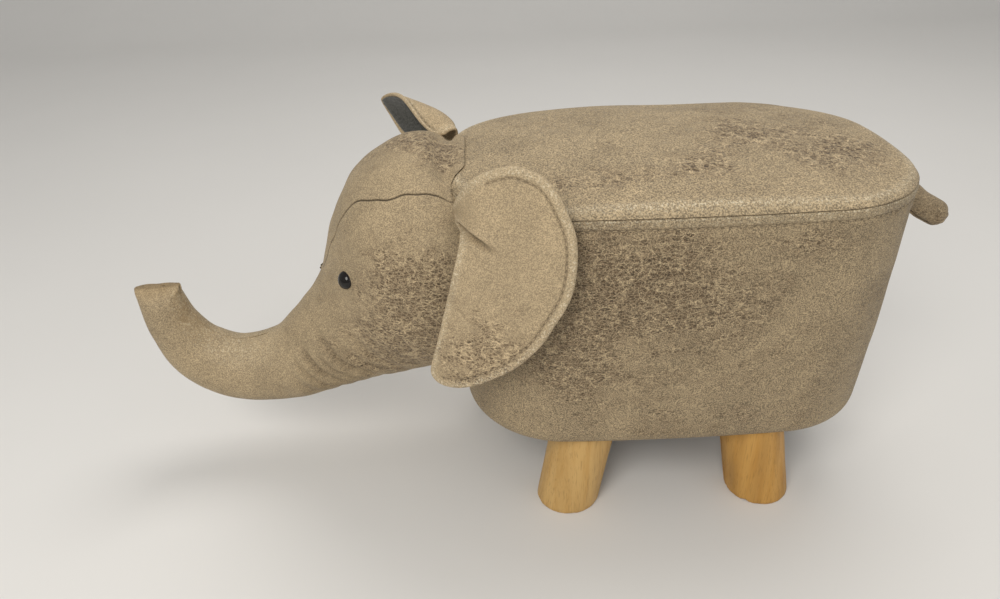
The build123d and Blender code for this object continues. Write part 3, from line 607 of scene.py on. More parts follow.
# ---------------------------------------------------------------- shapes of the body
def seat_outline(count):
    """Outline of the seat at its ridge, as points and outward normals equally far along it.
    Four flat arcs, two for the ends and two for the sides, are joined by rounder corner arcs;
    each point lies on its arc at the angle of its normal."""
    half_length = length_of("half_length")
    half_width = length_of("half_width")
    end_bow, side_bow, corner = 12.0, 6.0, 76.0
    side_radius = ((half_length - end_bow) ** 2 + side_bow ** 2) / (2 * side_bow)
    end_radius = ((half_width - side_bow) ** 2 + end_bow ** 2) / (2 * end_bow)
    side_centre = half_width - side_radius
    end_centre = half_length - end_radius
    x, y = half_length / 2, half_width / 2
    for _ in range(40):
        x = end_centre + math.sqrt((end_radius - corner) ** 2 - y * y)
        y = side_centre + math.sqrt((side_radius - corner) ** 2 - x * x)
    turn_a = math.atan2(y, x - end_centre)
    turn_b = math.atan2(y - side_centre, x)
    knots = np.array((0, turn_a, turn_b, math.pi / 2))
    run = np.concatenate([[0], np.cumsum(np.diff(knots) * (end_radius, corner, side_radius))])
    along = np.arange(count) / count * 4 * run[-1]
    quarter = np.floor(along / run[-1]).astype(int)
    part = along - quarter * run[-1]
    part = np.where(quarter % 2 == 1, run[-1] - part, part)
    angle = np.interp(part, run, knots)
    piece = np.clip(np.searchsorted(knots, angle, side="right") - 1, 0, 2)
    middle = np.array(((end_centre, 0), (x, y), (0, side_centre)))[piece]
    radius = np.array((end_radius, corner, side_radius))[piece]
    normal = np.stack([np.cos(angle), np.sin(angle)], axis=-1)
    point = middle + radius[:, None] * normal
    sign = np.stack([np.where((quarter == 1) | (quarter == 2), -1, 1),
                     np.where(quarter >= 2, -1, 1)], axis=-1)
    return point * sign, normal * sign, 4 * run[-1]


def wall_inset(z):
    """How far the leaning side has drawn in at height z."""
    return (length_of("ridge") - z) * math.tan(WALL_LEAN)


def swept(outline, normal, offsets, heights):
    """A profile carried round an outline: each row is the outline moved along its normals by
    one offset and lifted to one height."""
    return lifted(outline + offsets[:, None, None] * normal, heights[:, None])


def body_proxy():
    """Plain form of the whole upholstered body, which other pieces are pressed clear of."""
    outline, normal, _ = seat_outline(360)
    ridge = length_of("ridge")
    low = length_of("underside")
    radius = length_of("lower_radius")
    turn = np.radians(np.linspace(90, 0, 9))
    corner_z = low + radius * (1 - np.sin(turn))
    corner_in = -radius * (1 - np.cos(turn)) - wall_inset(corner_z)
    wall_z = np.linspace(low + radius, ridge, 24)[1:]
    side = swept(outline, normal, np.concatenate([corner_in, -wall_inset(wall_z)]),
                 np.concatenate([corner_z, wall_z]))
    top = crowned(outline, normal, np.linspace(0, 1, 30)[1:] ** 1.6)
    bottom = side[:1] * (0, 0, 1)
    body = surface("body_form", np.concatenate([bottom, side, top]))
    body.hide_render = True
    return body


def seat_height(flat, into):
    """Height of the seat panel. It rolls over at the rim as the hyperbolic tangent of the
    distance into the outline, up to a shallow dome."""
    length, width = length_of("half_length"), length_of("half_width")
    dome = length_of("crown") - CROWN_FALL * (flat[..., 0] / length) ** 2
    dome = np.maximum(dome - CROWN_FALL * (flat[..., 1] / width) ** 2, 3.0)
    return length_of("ridge") + dome * np.tanh(RIM_STEEPNESS * np.clip(into, 0, None) / dome)


def crowned(outline, normal, inward):
    """Seat panel's surface: each row is the outline drawn in towards the middle."""
    flat = outline * (1 - inward[:, None, None])
    into = inward[:, None] * (outline * normal).sum(-1)
    return lifted(flat, seat_height(flat, into))


def into_outline(flat):
    """How far flat points lie inside the seat's outline, square to its nearest side."""
    outline, normal, _ = seat_outline(720)
    turn = np.arctan2(outline[:, 1], outline[:, 0])
    reach = np.linalg.norm(outline, axis=-1)
    facing = (outline * normal).sum(-1) / reach
    here = np.arctan2(flat[..., 1], flat[..., 0])
    far, square = (np.interp(here, turn, values, period=2 * math.pi) for values in (reach, facing))
    return (far - np.linalg.norm(flat, axis=-1)) * square


# ---------------------------------------------------------------- soft blobs: leather patches and painted shade
def spots(points, places):
    """Sum of soft blobs: each place gives a centre, its reach along each axis and a weight."""
    total = np.zeros(points.shape[:-1])
    for centre, reach, weight in places:
        total += weight * np.exp(-(((points - centre) / reach) ** 2).sum(axis=-1))
    return total


# ---------------------------------------------------------------- pieces
def make_seat():
    """The seat pad: a crowned cushion, rolled into the seam at its rim and flat below."""
    outline, normal, _ = seat_outline(720)
    ridge = length_of("ridge")
    inward = np.concatenate([[0.004, 0.008, 0.013, 0.019, 0.026, 0.034, 0.043, 0.053],
                             np.linspace(0.065, 1, 100)])
    top = crowned(outline, normal, inward)
    lip_offset = np.array((-10.5, -2.5, -1.5, -1.6, -1.4, -0.7, -0.25, 0.1))
    lip_rise = np.array((-18.3, -18.3, -17.3, -1.2, -0.25, 0.02, 0.15, 0.5))
    lip = swept(outline, normal, lip_offset, ridge + lip_rise)
    grid = np.concatenate([lip[:1] * (0, 0, 1), lip, top])
    on_top = (np.arange(len(grid)) > len(lip))[:, None]
    away, reach = (np.linalg.norm(flat, axis=-1) for flat in (grid[..., :2], outline))
    inside = np.clip((reach - away) / 30, 0, 1)
    sag = 0.7 * ripple(grid, 90, 3) + 0.25 * ripple(grid, 28, 4)
    dip = -3.2 * spots(grid, [((20, 92, 245), (34, 34, 60), 1.0)])
    swell = 1.2 * spots(grid, [((78, 80, 245), (40, 34, 60), 1.0)])
    grid[..., 2] += on_top * (sag * inside + dip + swell) * ease(inside, 0, 0.5)
    worn = spots(grid, [
        ((48, 0, 250), (26, 20, 60), 0.60), ((72, -28, 250), (50, 24, 60), 0.50),
        ((116, -30, 250), (26, 44, 60), 0.42), ((2, -54, 250), (20, 18, 60), 0.45),
        ((-50, -68, 250), (46, 13, 60), 0.38), ((-60, 30, 250), (60, 34, 60), 0.12),
        ((75, -62, 250), (16, 10, 60), 0.30), ((60, 50, 250), (60, 24, 60), 0.12),
    ]) + 0.10
    marks = {
        "worn": worn - 0.25 * ease(away / reach, 0.86, 0.97),
        # painted shade on the lip rows, which turn down under the rim into the seam
        "seam": 0.5 * (np.arange(len(grid)) < len(lip) - 1)[:, None] * np.ones(len(outline)),
        # painted highlight: a row of pale specks about 5 mm in from the rim
        "sheen": 0.5 * hill(into_outline(grid[..., :2]) - 5.0, 3.0),
    }
    seat = surface("seat_pad", grid, marks=marks)
    finished(seat, leatherette("seat_leather", colours().leather, grain=1.3, size=1.35))
    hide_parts("cover_top", "seat_foam")


def band_profile():
    """Section of the side band, as offsets from the ridge outline and heights: the rolled upper
    edge, the drawn-in line of topstitching, the leaning face, the round lower edge, the part
    turned under the base and the inner face of the foam. Also gives the rows that show."""
    ridge = length_of("ridge")
    low = length_of("underside") + 0.4
    radius = length_of("lower_radius")
    thick = length_of("band_thickness")
    down = np.concatenate([(0.05, 0.2, 0.4, 0.65, 1.0, 1.5), np.linspace(2, SEAM_DROP + 6, 26),
                           np.linspace(SEAM_DROP + 8, ridge - low - radius, 66)])
    stitch = -length_of("seam_depth") * hill(down - SEAM_DROP, 0.8)
    roll = 0.75 * hill(down - 3.6, 2.6) + 0.45 * hill(down - SEAM_DROP - 4.5, 3.2)
    edge = -0.9 * np.exp(-down / 0.3)
    full = np.sin(np.pi * np.clip((down - 12) / (ridge - low - 24), 0, 1))
    face_z = ridge - down
    face = -wall_inset(face_z) + stitch + roll + edge + full
    turn = np.radians(np.linspace(0, 90, 16))[1:]
    round_z = low + radius * (1 - np.sin(turn))
    round_in = -wall_inset(low + radius) - radius * (1 - np.cos(turn))
    under = round_in[-1] - np.linspace(1, 9, 6)
    foam_z = np.array((low + 6, low + 30, ridge - 60, ridge - 19.5))
    foam = -wall_inset(foam_z) - thick - np.array((4, 0, 0, 0))
    lip_z = ridge - np.array((19.3, 18, 3.0, 1.5, 0.4))
    offsets = np.concatenate([face, round_in, under, under[-1] + np.array((0.4, 6.0)), foam,
                              (-6.0, -1.9, -1.85, -1.8, -1.45)])
    heights = np.concatenate([face_z, round_z, np.full(len(under), low), low + np.array((1.2, 1.3)),
                              foam_z, lip_z])
    return offsets, heights, len(face) + len(round_in)


def make_side_band():
    """The side band with its foam: one closed ring round the frame."""
    outline, normal, run = seat_outline(760)
    offsets, heights, shown_rows = band_profile()
    grid = swept(outline, normal, offsets, heights)
    down = np.clip(length_of("ridge") - grid[..., 2], 0, None)
    on_face = (np.arange(len(grid)) < shown_rows)[:, None]
    free = ease(down, 9, 40) * ease(grid[..., 2], 72, 100)
    swing = 0.55 * ripple(grid, 120, 11) + 0.22 * ripple(grid, 34, 12)
    along = np.arange(len(outline)) / len(outline) * run
    pucker = (0.16 * np.cos(2 * np.pi * along / (3 * SEAM_PITCH) + 1.7 * np.sin(along / 31))
              * hill(down - SEAM_DROP - 2.5, 4.5))
    grid[..., :2] += normal * ((swing * free + pucker) * on_face)[..., None]
    worn = spots(grid, [
        ((-28, -106, 196), (42, 30, 34), 0.75), ((20, -106, 180), (34, 30, 26), 0.30),
        ((-80, -100, 190), (24, 40, 60), 0.70), ((-62, -106, 140), (30, 30, 36), 0.30),
        ((62, -106, 222), (60, 20, 9), 0.25), ((100, -60, 150), (40, 60, 40), 0.12),
        ((10, 106, 175), (70, 30, 40), 0.50), ((-90, 90, 120), (40, 40, 30), 0.3),
        ((150, 20, 170), (30, 46, 36), 0.45), ((150, -40, 110), (30, 40, 26), 0.20),
        ((-10, -106, 130), (70, 40, 40), 0.12),
    ]) + 0.15
    groove = hill(down - SEAM_DROP, 0.55) * on_face
    marks = {
        "worn": worn,
        # painted shade in the topstitching's groove and along the top edge at the ridge seam
        "seam": np.clip(0.5 * groove + np.where(down < 0.3, 0.5, 0.0), 0, 1),
        # painted highlight: a pale line on the rolled upper edge and a fainter one over the roll
        # above the stitching
        "sheen": (0.5 * hill(down - 0.9, 0.6) + 0.25 * hill(down - 3.6, 2.4)) * on_face,
    }
    band = surface("side_band", grid, loop_u=True, marks=marks)
    # Painted shade: the band gets the seat's leather at 0.9, so its upright face reads darker than
    # the top.
    tone = [0.9 * part for part in colours().leather]
    finished(band, leatherette("side_leather", tone, grain=1.35))
    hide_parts("cover_side", "side_foam")


def make_band_stitches():
    """Topstitching round the side band, one grain of thread for each stitch."""
    outline, normal, run = seat_outline(4000)
    count = round(run / SEAM_PITCH)
    at = (np.arange(count) / count * len(outline)).astype(int)
    z = length_of("ridge") - SEAM_DROP
    offset = -wall_inset(z) - length_of("seam_depth") + 0.45
    outward = lifted(normal[at], 0.0)
    stitches = beads("side_stitches", lifted(outline[at] + offset * normal[at], z),
                     np.cross((0, 0, 1), outward), outward, (3.0, 0.7, 0.6))
    finished(stitches, thread("side_thread", colours().trim))


def seam_width(x):
    """Distance of the gusset's seam from the middle plane, by a smooth curve through its table
    with a little unevenness."""
    fine = spline(GUSSET_SEAM, 400)
    wave = 0.18 * np.sin(x / 2.3 + np.sin(x / 5.1)) + 0.35 * np.sin(x / 7.7 + 1)
    return np.interp(-x, -fine[:, 0], fine[:, 1]) + wave * ease(-x, 236, 226)


def head_grid(rows, columns_near, columns_far):
    """Head and trunk. Ellipses stand across a smooth centre line, their size and width read off
    a smooth curve through the stations; the columns crowd together about the gusset's seam.
    Gives the points, the place of each row among the stations and the angle from the top."""
    held = with_ends(HEAD_STATIONS)
    fine = np.linspace(0, len(HEAD_STATIONS) - 1, 3000)
    run = lengths_along(spline_at(held, fine)[:, :2])
    at = np.interp(np.linspace(0, run[-1], rows), run, fine)
    here = spline_at(held, at)
    ahead = unit(spline_at(held, at + 0.05)[:, :2] - spline_at(held, at - 0.05)[:, :2])
    upright = np.stack([ahead[:, 1], 0 * at, -ahead[:, 0]], axis=-1)
    high = here[:, 2]
    wide = high * here[:, 3]
    power = 2 + 1.6 * ease(at, 13.2, 14)

    def square(turn):
        """How far the section stands out, as a share of its ellipse's circle: squarer at the
        trunk's tip and over the shoulders."""
        shoulder = 0.35 * ease(here[:, :1], -190, -160) * ease(np.cos(turn), 0, 0.2)
        shape = power[:, None] + shoulder
        return (np.abs(np.sin(turn)) ** shape + np.abs(np.cos(turn)) ** shape) ** (-1 / shape)

    seam = 0.6 + 0 * at
    for _ in range(40):
        out = square(seam[:, None])[:, 0]
        x = here[:, 0] + high * out * np.cos(seam) * upright[:, 0]
        lean = np.clip(seam_width(x) / (np.maximum(wide, 1) * out), 0.12, 0.93)
        seam = 0.6 * seam + 0.4 * np.arcsin(lean)
    half = 3.5 / np.maximum(high, 12)
    zero = 0 * at
    whole = 2 * np.pi
    breaks = (zero, seam - half, seam + half, zero + np.pi, whole - seam - half,
              whole - seam + half, zero + whole)
    parts = (columns_far // 3, columns_near, columns_far, columns_far, columns_near,
             columns_far // 3)
    angle = np.concatenate([start[:, None] + (end - start)[:, None] * (np.arange(n) / n)
                            for start, end, n in zip(breaks, breaks[1:], parts)], axis=1)
    out = square(angle)
    centre = np.stack([here[:, 0], zero, here[:, 1]], axis=-1)[:, None]
    grid = (centre + (high[:, None] * out * np.cos(angle))[..., None] * upright[:, None]
            + (wide[:, None] * out * np.sin(angle))[..., None] * np.array((0, 1.0, 0)))
    return grid, at[:, None] + 0 * angle, angle


def joined(grid, at, angle):
    """The head run up to the body. Over the seat its skin is held up to lie on the seat as far
    as the lap's edge, which rounds off to the side; elsewhere each column of points stops where
    it meets the body. The rows are then spread over what shows, and a few lead from that edge
    in to the middle of the rear. Gives the points with the places among the stations and the
    angles that go with them."""
    x, y, z = (grid[..., k] for k in range(3))
    into = into_outline(grid[..., :2])
    floor = seat_height(grid[..., :2], into) + LAP_THICK
    soft = 1.2
    held = floor + soft * np.logaddexp(0, (z - floor) / soft)
    z = z + (held - z) * ease(z, 219, 231) * ease(into, -3, 3)
    within = np.minimum(into - wall_inset(z) + GAP, floor - 0.5 - z)
    aside = np.abs(y)
    lap = np.maximum(16 - 15.5 * ease(aside, 34, 54), wall_inset(z))
    straight = x - LAP_END - 40 * ease(aside, 54, 62)
    hidden = np.maximum(np.maximum(within, straight), into - lap)
    rows = len(grid)
    shows = np.cumsum((hidden > 0)[::-1], axis=0)[::-1] == 0
    first = np.argmax(shows, axis=0)
    columns = np.arange(grid.shape[1])
    after, before = hidden[first, columns], hidden[np.maximum(first - 1, 0), columns]
    cross = first - np.clip(after / np.minimum(after - before, -1e-6), 0, 1)
    cross = sum(np.roll(cross, k) * part for k, part in zip(range(-3, 4), EVENING))
    place = cross + (rows - 1 - cross) * np.linspace(0, 1, rows - HIDDEN_ROWS)[:, None]
    low = np.clip(np.floor(place).astype(int), 0, rows - 2)
    past = (place - low)[..., None]
    full = np.stack([x, y, z, at, angle], axis=-1)
    full = full[low, columns] * (1 - past) + full[low + 1, columns] * past
    edge = full[:1]
    middle = np.array((-length_of("half_length") + wall_inset(REAR_HEIGHT), 0, REAR_HEIGHT))
    inward = np.linspace(1, 0, HIDDEN_ROWS + 1)[:-1][:, None, None]
    rear = np.repeat(edge, HIDDEN_ROWS, axis=0)
    rear[..., :3] = edge[..., :3] + (middle - edge[..., :3]) * inward
    rear[..., 2] -= 0.9 * ease(rear[..., 2], 232, 240)
    full = np.concatenate([rear, full])
    return full[..., :3], full[..., 3], full[..., 4]


def seam_distance(grid, normals):
    """Distance over the surface from the gusset's seam: how far a point's distance from the
    middle plane exceeds the seam's, divided by how fast that changes along the surface."""
    x, y = grid[..., 0], np.abs(grid[..., 1])
    slope = (seam_width(x + 1) - seam_width(x - 1)) / -2
    rise = np.stack([slope, np.sign(grid[..., 1]), 0 * x], axis=-1)
    across = rise - (rise * normals).sum(-1, keepdims=True) * normals
    return (y - seam_width(x)) / np.maximum(np.linalg.norm(across, axis=-1), 0.25)


def make_head(body):
    """Head and trunk: a stuffed form with the gusset's seams drawn in over the crown, soft
    folds where the trunk bends and a gathered tip."""
    grid, at, angle = joined(*head_grid(rows=380, columns_near=18, columns_far=78))
    normals = grid_normals(grid, False, True)
    normals *= np.sign((normals * (grid - grid.mean(axis=1, keepdims=True)))[60:].sum(-1).mean())
    row = np.arange(len(grid))[:, None]
    shown = ease(row, HIDDEN_ROWS, HIDDEN_ROWS + 26)
    upper = ease(np.cos(angle), -0.35, 0.1)
    gap = seam_distance(grid, normals)
    held = upper * ease(row, HIDDEN_ROWS - 2, HIDDEN_ROWS + 4)
    sewn = held * ease(-grid[..., 0], 241, 226)
    held = held * ease(-grid[..., 0], 245, 238)
    push = sewn * (0.4 * np.exp(-np.abs(gap) / 5.0) - hill(gap, 0.55))
    fold, crease = np.zeros_like(at), np.zeros_like(at)
    low, side = -np.cos(angle), np.abs(np.sin(angle))
    for place, depth, width, lean, top in WRINKLES:
        where = at - place - lean * low + 0.12 * ease(low, 0, 0.8)
        where = where + 0.03 * np.sin(5 * side + 3 * place)
        deep = depth * ease(low, -top, 0.4 - top) * (1 - 0.85 * ease(low, 0.45, 0.8))
        fold += deep * (0.45 * hill(where - 1.9 * width, width) - hill(where, width)
                        + 0.45 * hill(where + 1.9 * width, width))
        crease += deep * hill(where, 0.7 * width)
    cheek = -2.4 * hill(at - 7.0 - 0.55 * low, 0.35) * side
    tip = ease(at, 13.0, 14.0)
    gather = -0.6 * tip * (0.5 + 0.5 * np.cos(7 * angle + 1)) * hill(at - 13.75, 0.35)
    uneven = (0.7 * ripple(grid, 85, 21) + 0.25 * ripple(grid, 24, 22)) * shown
    uneven = uneven * (1 - 0.75 * ease(at, 8, 10))
    grid = grid + normals * (push + (fold + cheek + gather + uneven) * shown)[..., None]
    rear = np.repeat(grid[:1].mean(axis=1, keepdims=True), grid.shape[1], axis=1)
    end = grid[-1:]
    middle = end.mean(axis=1, keepdims=True)
    dip = 1.3 * hill(end[..., :1] - middle[..., :1] - 2, 9.0) * np.array((0, 0, -1.0))
    rings = [middle + (end - middle) * share + (0, 0, rise) + dip * (1 - share)
             for share, rise in ((0.95, 0.7), (0.85, 1.0), (0.6, 1.1), (0.3, 1.1), (0.0, 1.1))]
    full = np.concatenate([rear, grid, *rings])
    grow = len(rings)

    def held_out(values, last):
        """A mark extended over the rear point and the rings that close the tip."""
        return np.concatenate([values[:1], values, np.repeat(values[-1:] * 0 + last, grow, axis=0)])

    # The spots on the near cheek stand for its worn patches and also darken the lower cheek as
    # painted shade; the broad one at (-180, -75, 140) is only painted shade. The crease term is
    # painted shade in the trunk's folds.
    worn = spots(grid, [
        ((-158, -4, 250), (24, 26, 60), 1.0), ((-182, 10, 250), (18, 20, 60), 0.45),
        ((-215, 20, 225), (22, 14, 40), 0.20), ((-176, -75, 196), (32, 40, 26), 0.55),
        ((-156, -75, 160), (32, 40, 36), 0.70), ((-164, 75, 180), (26, 40, 26), 0.6),
        ((-195, -60, 140), (30, 40, 26), 0.42), ((-190, -60, 108), (40, 40, 24), 0.50),
        ((-180, -75, 140), (48, 44, 50), 0.22),
    ]) + 0.06 * np.clip(crease, 0, 1.5) + 0.08
    # painted shade along the gusset's seam groove and, faintly, in the trunk's creases
    seam = np.clip(held * hill(gap, 0.55) * 0.95 + 0.06 * crease, 0, 1)
    bend = ease(np.cos(angle), 0.3, 0.9)
    stain = (0.55 * bend * hill(at - 12.3, 1.0) + 0.45 * tip) * (0.7 + 0.3 * ripple(grid, 12, 9))
    marks = {
        "worn": held_out(worn, 0.2),
        "seam": held_out(seam, 0.25),
        "stain": held_out(np.clip(stain, 0, 1), 0.5),
        # painted highlight: pale specks on the upward face of the trunk
        "sheen": held_out(0.25 * bend * ease(at, 8, 10), 0.0),
    }
    head = surface("head_and_trunk", full, marks=marks)
    pressed_clear(head, body)
    finished(head, leatherette("head_leather", colours().leather))
    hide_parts("head_panel_left", "head_panel_right", "head_gusset", "head_stuffing",
                "trunk_cap")


def ear_frame(origin, x_axis, z_axis):
    """Axes of an ear as the rows of a matrix: across it, up it and out of its face."""
    x_axis, z_axis = unit(np.asarray(x_axis, float)), unit(np.asarray(z_axis, float))
    return np.asarray(origin, float), np.stack([x_axis, np.cross(z_axis, x_axis), z_axis])


def heading(side, turn, rise):
    """Direction out to one side, turned forward and raised by angles."""
    turn, rise = math.radians(turn), math.radians(rise)
    return np.array((-math.sin(turn) * math.cos(rise), side * math.cos(turn) * math.cos(rise),
                     math.sin(rise)))


class EarForm:
    """Flat outline of an ear with the curl, pleat and gathered root that shape it. The curl is
    the radius of the cylinder that the ear is bent round, at the root and at its far end, and
    the bend is how far it bows by that end. A pleat has a start, an end, a depth and a width."""

    def __init__(self, knots, middle, axes, curl, curl_at, length, bend, ball, gather, root_reach,
                 pleat=None):
        self.outline = evenly(spline(knots, 1500, closed=True), 520, closed=True)
        self.middle = np.array(middle, float)
        self.origin, self.axes = axes
        self.curl, self.curl_at, self.length, self.bend = curl, curl_at, length, bend
        self.ball = (ball - self.origin) @ self.axes.T
        self.gather = np.array(gather, float)
        self.pleat, self.root_reach = pleat, root_reach

    def inset(self, distance):
        """The outline drawn in by a distance along its normals."""
        along = np.roll(self.outline, -1, 0) - np.roll(self.outline, 1, 0)
        inward = unit(np.stack([-along[:, 1], along[:, 0]], axis=-1))
        flip = np.sign((inward * (self.middle - self.outline)).sum())
        return self.outline + distance * flip * inward

    def filled(self, border, shares):
        """Points drawn in from a border towards the middle, one row for each share."""
        return self.middle + shares[:, None, None] * (border - self.middle)

    def place(self, flat, lift):
        """Flat points with their height above the ear's middle layer, put in place. The pleat
        draws in along a line and stands proud beside it; the sheet is bent round a cylinder or
        cone that runs down the ear, and bows along it as the square of the distance from the
        root; near the root it shrinks towards the sewn point."""
        if self.pleat:
            start, end, depth, width = self.pleat
            gap, side, t = stretch_distance(flat, start, end)
            fade = ease(1.15 - t, 0.0, 0.9) * ease(t, -0.6, 0.0)
            lip = np.where(side < 0, 1.0, 0.35)
            lift = lift + fade * (0.75 * depth * lip * hill(gap - 4.0, 3.2)
                                  - depth * hill(gap, width))
        down = np.clip(-flat[..., 1] / self.length, 0, 1)
        radius = self.curl[0] + (self.curl[1] - self.curl[0]) * down
        turn = (flat[..., 0] - self.curl_at) / radius
        local = np.stack([
            self.curl_at + (radius + lift) * np.sin(turn),
            flat[..., 1],
            (radius + lift) * np.cos(turn) - radius - self.bend * down ** 2,
        ], axis=-1)
        away = np.linalg.norm(flat - self.gather, axis=-1)
        pull = (1 - ease(away, 0, self.root_reach))[..., None] ** 1.3
        drawn = self.ball + ROOT_SHRINK * (local - np.append(self.gather, 0.0))
        return self.origin + (local * (1 - pull) + drawn * pull) @ self.axes


def ear_heights(gap, stitched, seam_in, rim):
    """Half thickness of an ear by the distance in from its edge: a round rim, a drawn-in line
    of stitching where there is one, and a low swell towards the middle."""
    groove = 0.8 * hill(gap - seam_in, 0.85) * stitched
    roll = 0.45 * hill(gap - seam_in / 2, seam_in / 2.6) * stitched
    swell = length_of("ear_padding") * ease(gap, seam_in, seam_in + 16)
    return quarter_round(gap, rim) - groove + roll + swell


def make_ear(side, form, stitched_where, painted_shade_places):
    """One ear: the leather shell, rolled at its rim, the felt let into its hollow side and the
    stitches."""
    name, rim, seam_in, felt_in, felt_top = (
        ("ear_left", 2.0, 6.2, 3.2, 1e3) if side < 0 else ("ear_right", 1.5, 3.0, 1.8, -20))
    shares = np.concatenate([np.linspace(0, 0.80, 34),
                             0.80 + 0.20 * np.sin(np.linspace(0, np.pi / 2, 34))[1:]])
    flat = form.filled(form.outline, shares)
    gap = edge_distance(flat.reshape(-1, 2), form.outline).reshape(flat.shape[:2])
    stitched = stitched_where(form.outline)
    lift = ear_heights(gap, stitched, seam_in, rim)
    lift = lift + 0.35 * ripple(flat, 30, 31 + side) * ease(gap, 6, 20)
    back = form.place(flat[::-1], -BACK_SHARE * quarter_round(gap, rim)[::-1])
    grid = np.concatenate([form.place(flat, lift), back[1:]])
    # Painted shade along the groove of the stitching and in the crease of the pleat.
    seam = hill(gap - seam_in, 0.6) * stitched
    if form.pleat:
        crease, _, t = stretch_distance(flat, *form.pleat[:2])
        seam = np.clip(seam + hill(crease, 1.6) * ease(1.1 - t, 0, 0.5) * 0.75, 0, 1)
    away = np.linalg.norm(flat - form.gather, axis=-1)

    def both(front, rear):
        """A mark on the front and on the back, whose rows run the other way."""
        return np.concatenate([front, rear[::-1][1:]])

    marks = {
        # painted shade where places are given: the lower part of the left ear
        "worn": spots(grid, painted_shade_places),
        "seam": 0.6 * both(seam, 0 * gap),
        "stain": 0.12 * both(*[ease(12 - away, 0, 12)] * 2),
        # painted highlight on the rolled rim
        "sheen": 0.45 * both(hill(gap - 2.5, 2.5), 0 * gap),
    }
    shell = surface(name, grid, marks=marks)
    finished(shell, leatherette(name + "_leather", colours().trim, grain=0.85),
             body=None)
    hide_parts(name + "_face", name + "_padding")

    edge = form.inset(felt_in)
    edge[:, 1] = np.minimum(edge[:, 1], felt_top)
    shares = np.linspace(0, 1, 40)
    inner = form.filled(edge, shares)
    depth = (np.interp(shares, (0, 0.96, 1), (1, 1, 0.35))[:, None]
             * ease(np.linalg.norm(inner - form.gather, axis=-1), 4, 9))
    under = -BACK_SHARE * rim
    fuzz = 0.18 * ripple(inner, 5, 41) * depth
    outer_face = form.place(inner, under - 0.15 - 0.75 * depth + fuzz)
    inner_face = form.place(inner[::-1], np.full(inner.shape[:2], under + 0.25))
    lining = surface(name + "_felt", np.concatenate([outer_face, inner_face[1:]]))
    finished(lining, felt(name + "_felt", colours().felt), body=None)
    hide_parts(name + "_lining")

    line = form.inset(seam_in)
    following = np.roll(line, -1, 0)
    run = np.cumsum(np.linalg.norm(following - line, axis=1))
    pick = np.searchsorted(run, np.arange(0, run[-1], SEAM_PITCH)).clip(0, len(line) - 1)
    pick = np.unique(pick)
    pick = pick[stitched[pick] > 0.5]
    level = np.full(len(pick), rim - 0.85)
    centres = form.place(line[pick], level)
    sewing = beads(name + "_stitches", centres, form.place(following[pick], level) - centres,
                   form.place(line[pick], level + 1.0) - centres, (2.9, 0.8, 0.7))
    finished(sewing, thread(name + "_thread", [min(1, 1.1 * part) for part in colours().trim]),
             body=None)
    for piece in (shell, lining, sewing):
        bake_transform(piece)


def make_left_ear():
    """The left ear, which hangs back over the corner of the body with one pleat at its root."""
    ball = np.multiply(EAR_ROOT, (1, -1, 1))
    knots = ((-8.9, 17), (1.9, 27.4), (14.6, 37.3), (30.8, 43), (42.1, 41.3), (51.7, 36.4),
             (58.6, 28.1), (63.7, 18.2), (68.1, 7.9), (70, -1.8), (70.3, -15.5), (68.7, -28.6),
             (65, -38.8), (59.7, -48.6), (53.8, -59.6), (46.5, -69), (37.4, -78.2),
             (27.6, -85.3), (14.3, -93.4), (1.4, -98.8), (-9.8, -100.4), (-17.7, -98.2),
             (-20.6, -91.5), (-15.8, -74), (-9.1, -48.6), (-3.2, -24.8), (1.3, -6), (3.3, 4),
             (-3.2, 9.5))
    lean = math.radians(20)
    axes = ear_frame(ball + (2, -31, 0), (math.cos(lean), -math.sin(lean), 0), heading(-1, 20, 8))
    form = EarForm(knots, middle=(24, -22), axes=axes, curl=(130, 130), curl_at=23.0, length=100,
                   bend=0.0, ball=ball, gather=(-7.0, 13.0), root_reach=26,
                   pleat=((4.0, 4.6), (26.3, -7.1), 4.6, 2.1))

    def stitched(border):
        """Along the round edge and the bottom, and not up the straight front edge or the root."""
        front = ease(border[:, 0] - (4.0 + 0.232 * (border[:, 1] - 4.0)), 3.5, 7.0)
        bottom = ease(-border[:, 1], 93, 98) * ease(border[:, 0], -15, -5)
        return np.maximum(front, bottom) * ease(np.linalg.norm(border - (-6, 12), axis=1), 9, 14)

    # Painted shade: these spots darken the lower part of the left ear through the mark 'worn'.
    worn = [((-115, -125, 148), (40, 40, 26), 0.46), ((-140, -120, 160), (20, 30, 40), 0.46),
            ((-100, -125, 185), (40, 40, 30), 0.10)]
    make_ear(-1, form, stitched, worn)


def make_right_ear():
    """The right ear, flung out and back. From its gathered root, rolled almost to a tube, it
    opens like a cone. Its half width on either side swells as the sine of the square root of
    the distance along it, to a power."""
    ball = np.array(EAR_ROOT)
    along, upright = heading(1, 40.75, 16.2), heading(1, 40.75, 106.2)
    roll = math.radians(80.6)
    outward = upright * math.cos(roll) + np.cross(along, upright) * math.sin(roll)
    axes = ear_frame(ball + (5.4, 4.0, 4.2), np.cross(outward, along), outward)
    share = np.concatenate([np.linspace(0, 0.15, 8), np.linspace(0.2, 0.9, 15),
                            (0.94, 0.97, 0.99, 1.0)])
    swell = 0.97 * np.clip(np.sin(np.pi * np.sqrt(share)), 0, 1) ** 0.6 + 0.18 * (1 - share)
    length, near_width, far_width = 76.5, 25.3, 29.6
    near = np.stack([near_width * swell, -length * share], axis=-1)
    far = np.stack([-far_width * swell, -length * share], axis=-1)
    form = EarForm(np.concatenate([near[:-1], far[:0:-1]]), middle=(0, -30), axes=axes,
                   curl=(9.0, 18.0), curl_at=0.0, length=length, bend=20.0, ball=ball,
                   gather=(0.0, 0.0), root_reach=14)

    def stitched(border):
        """All round, short of the root."""
        return ease(-border[:, 1], 6, 12)

    make_ear(1, form, stitched, [])


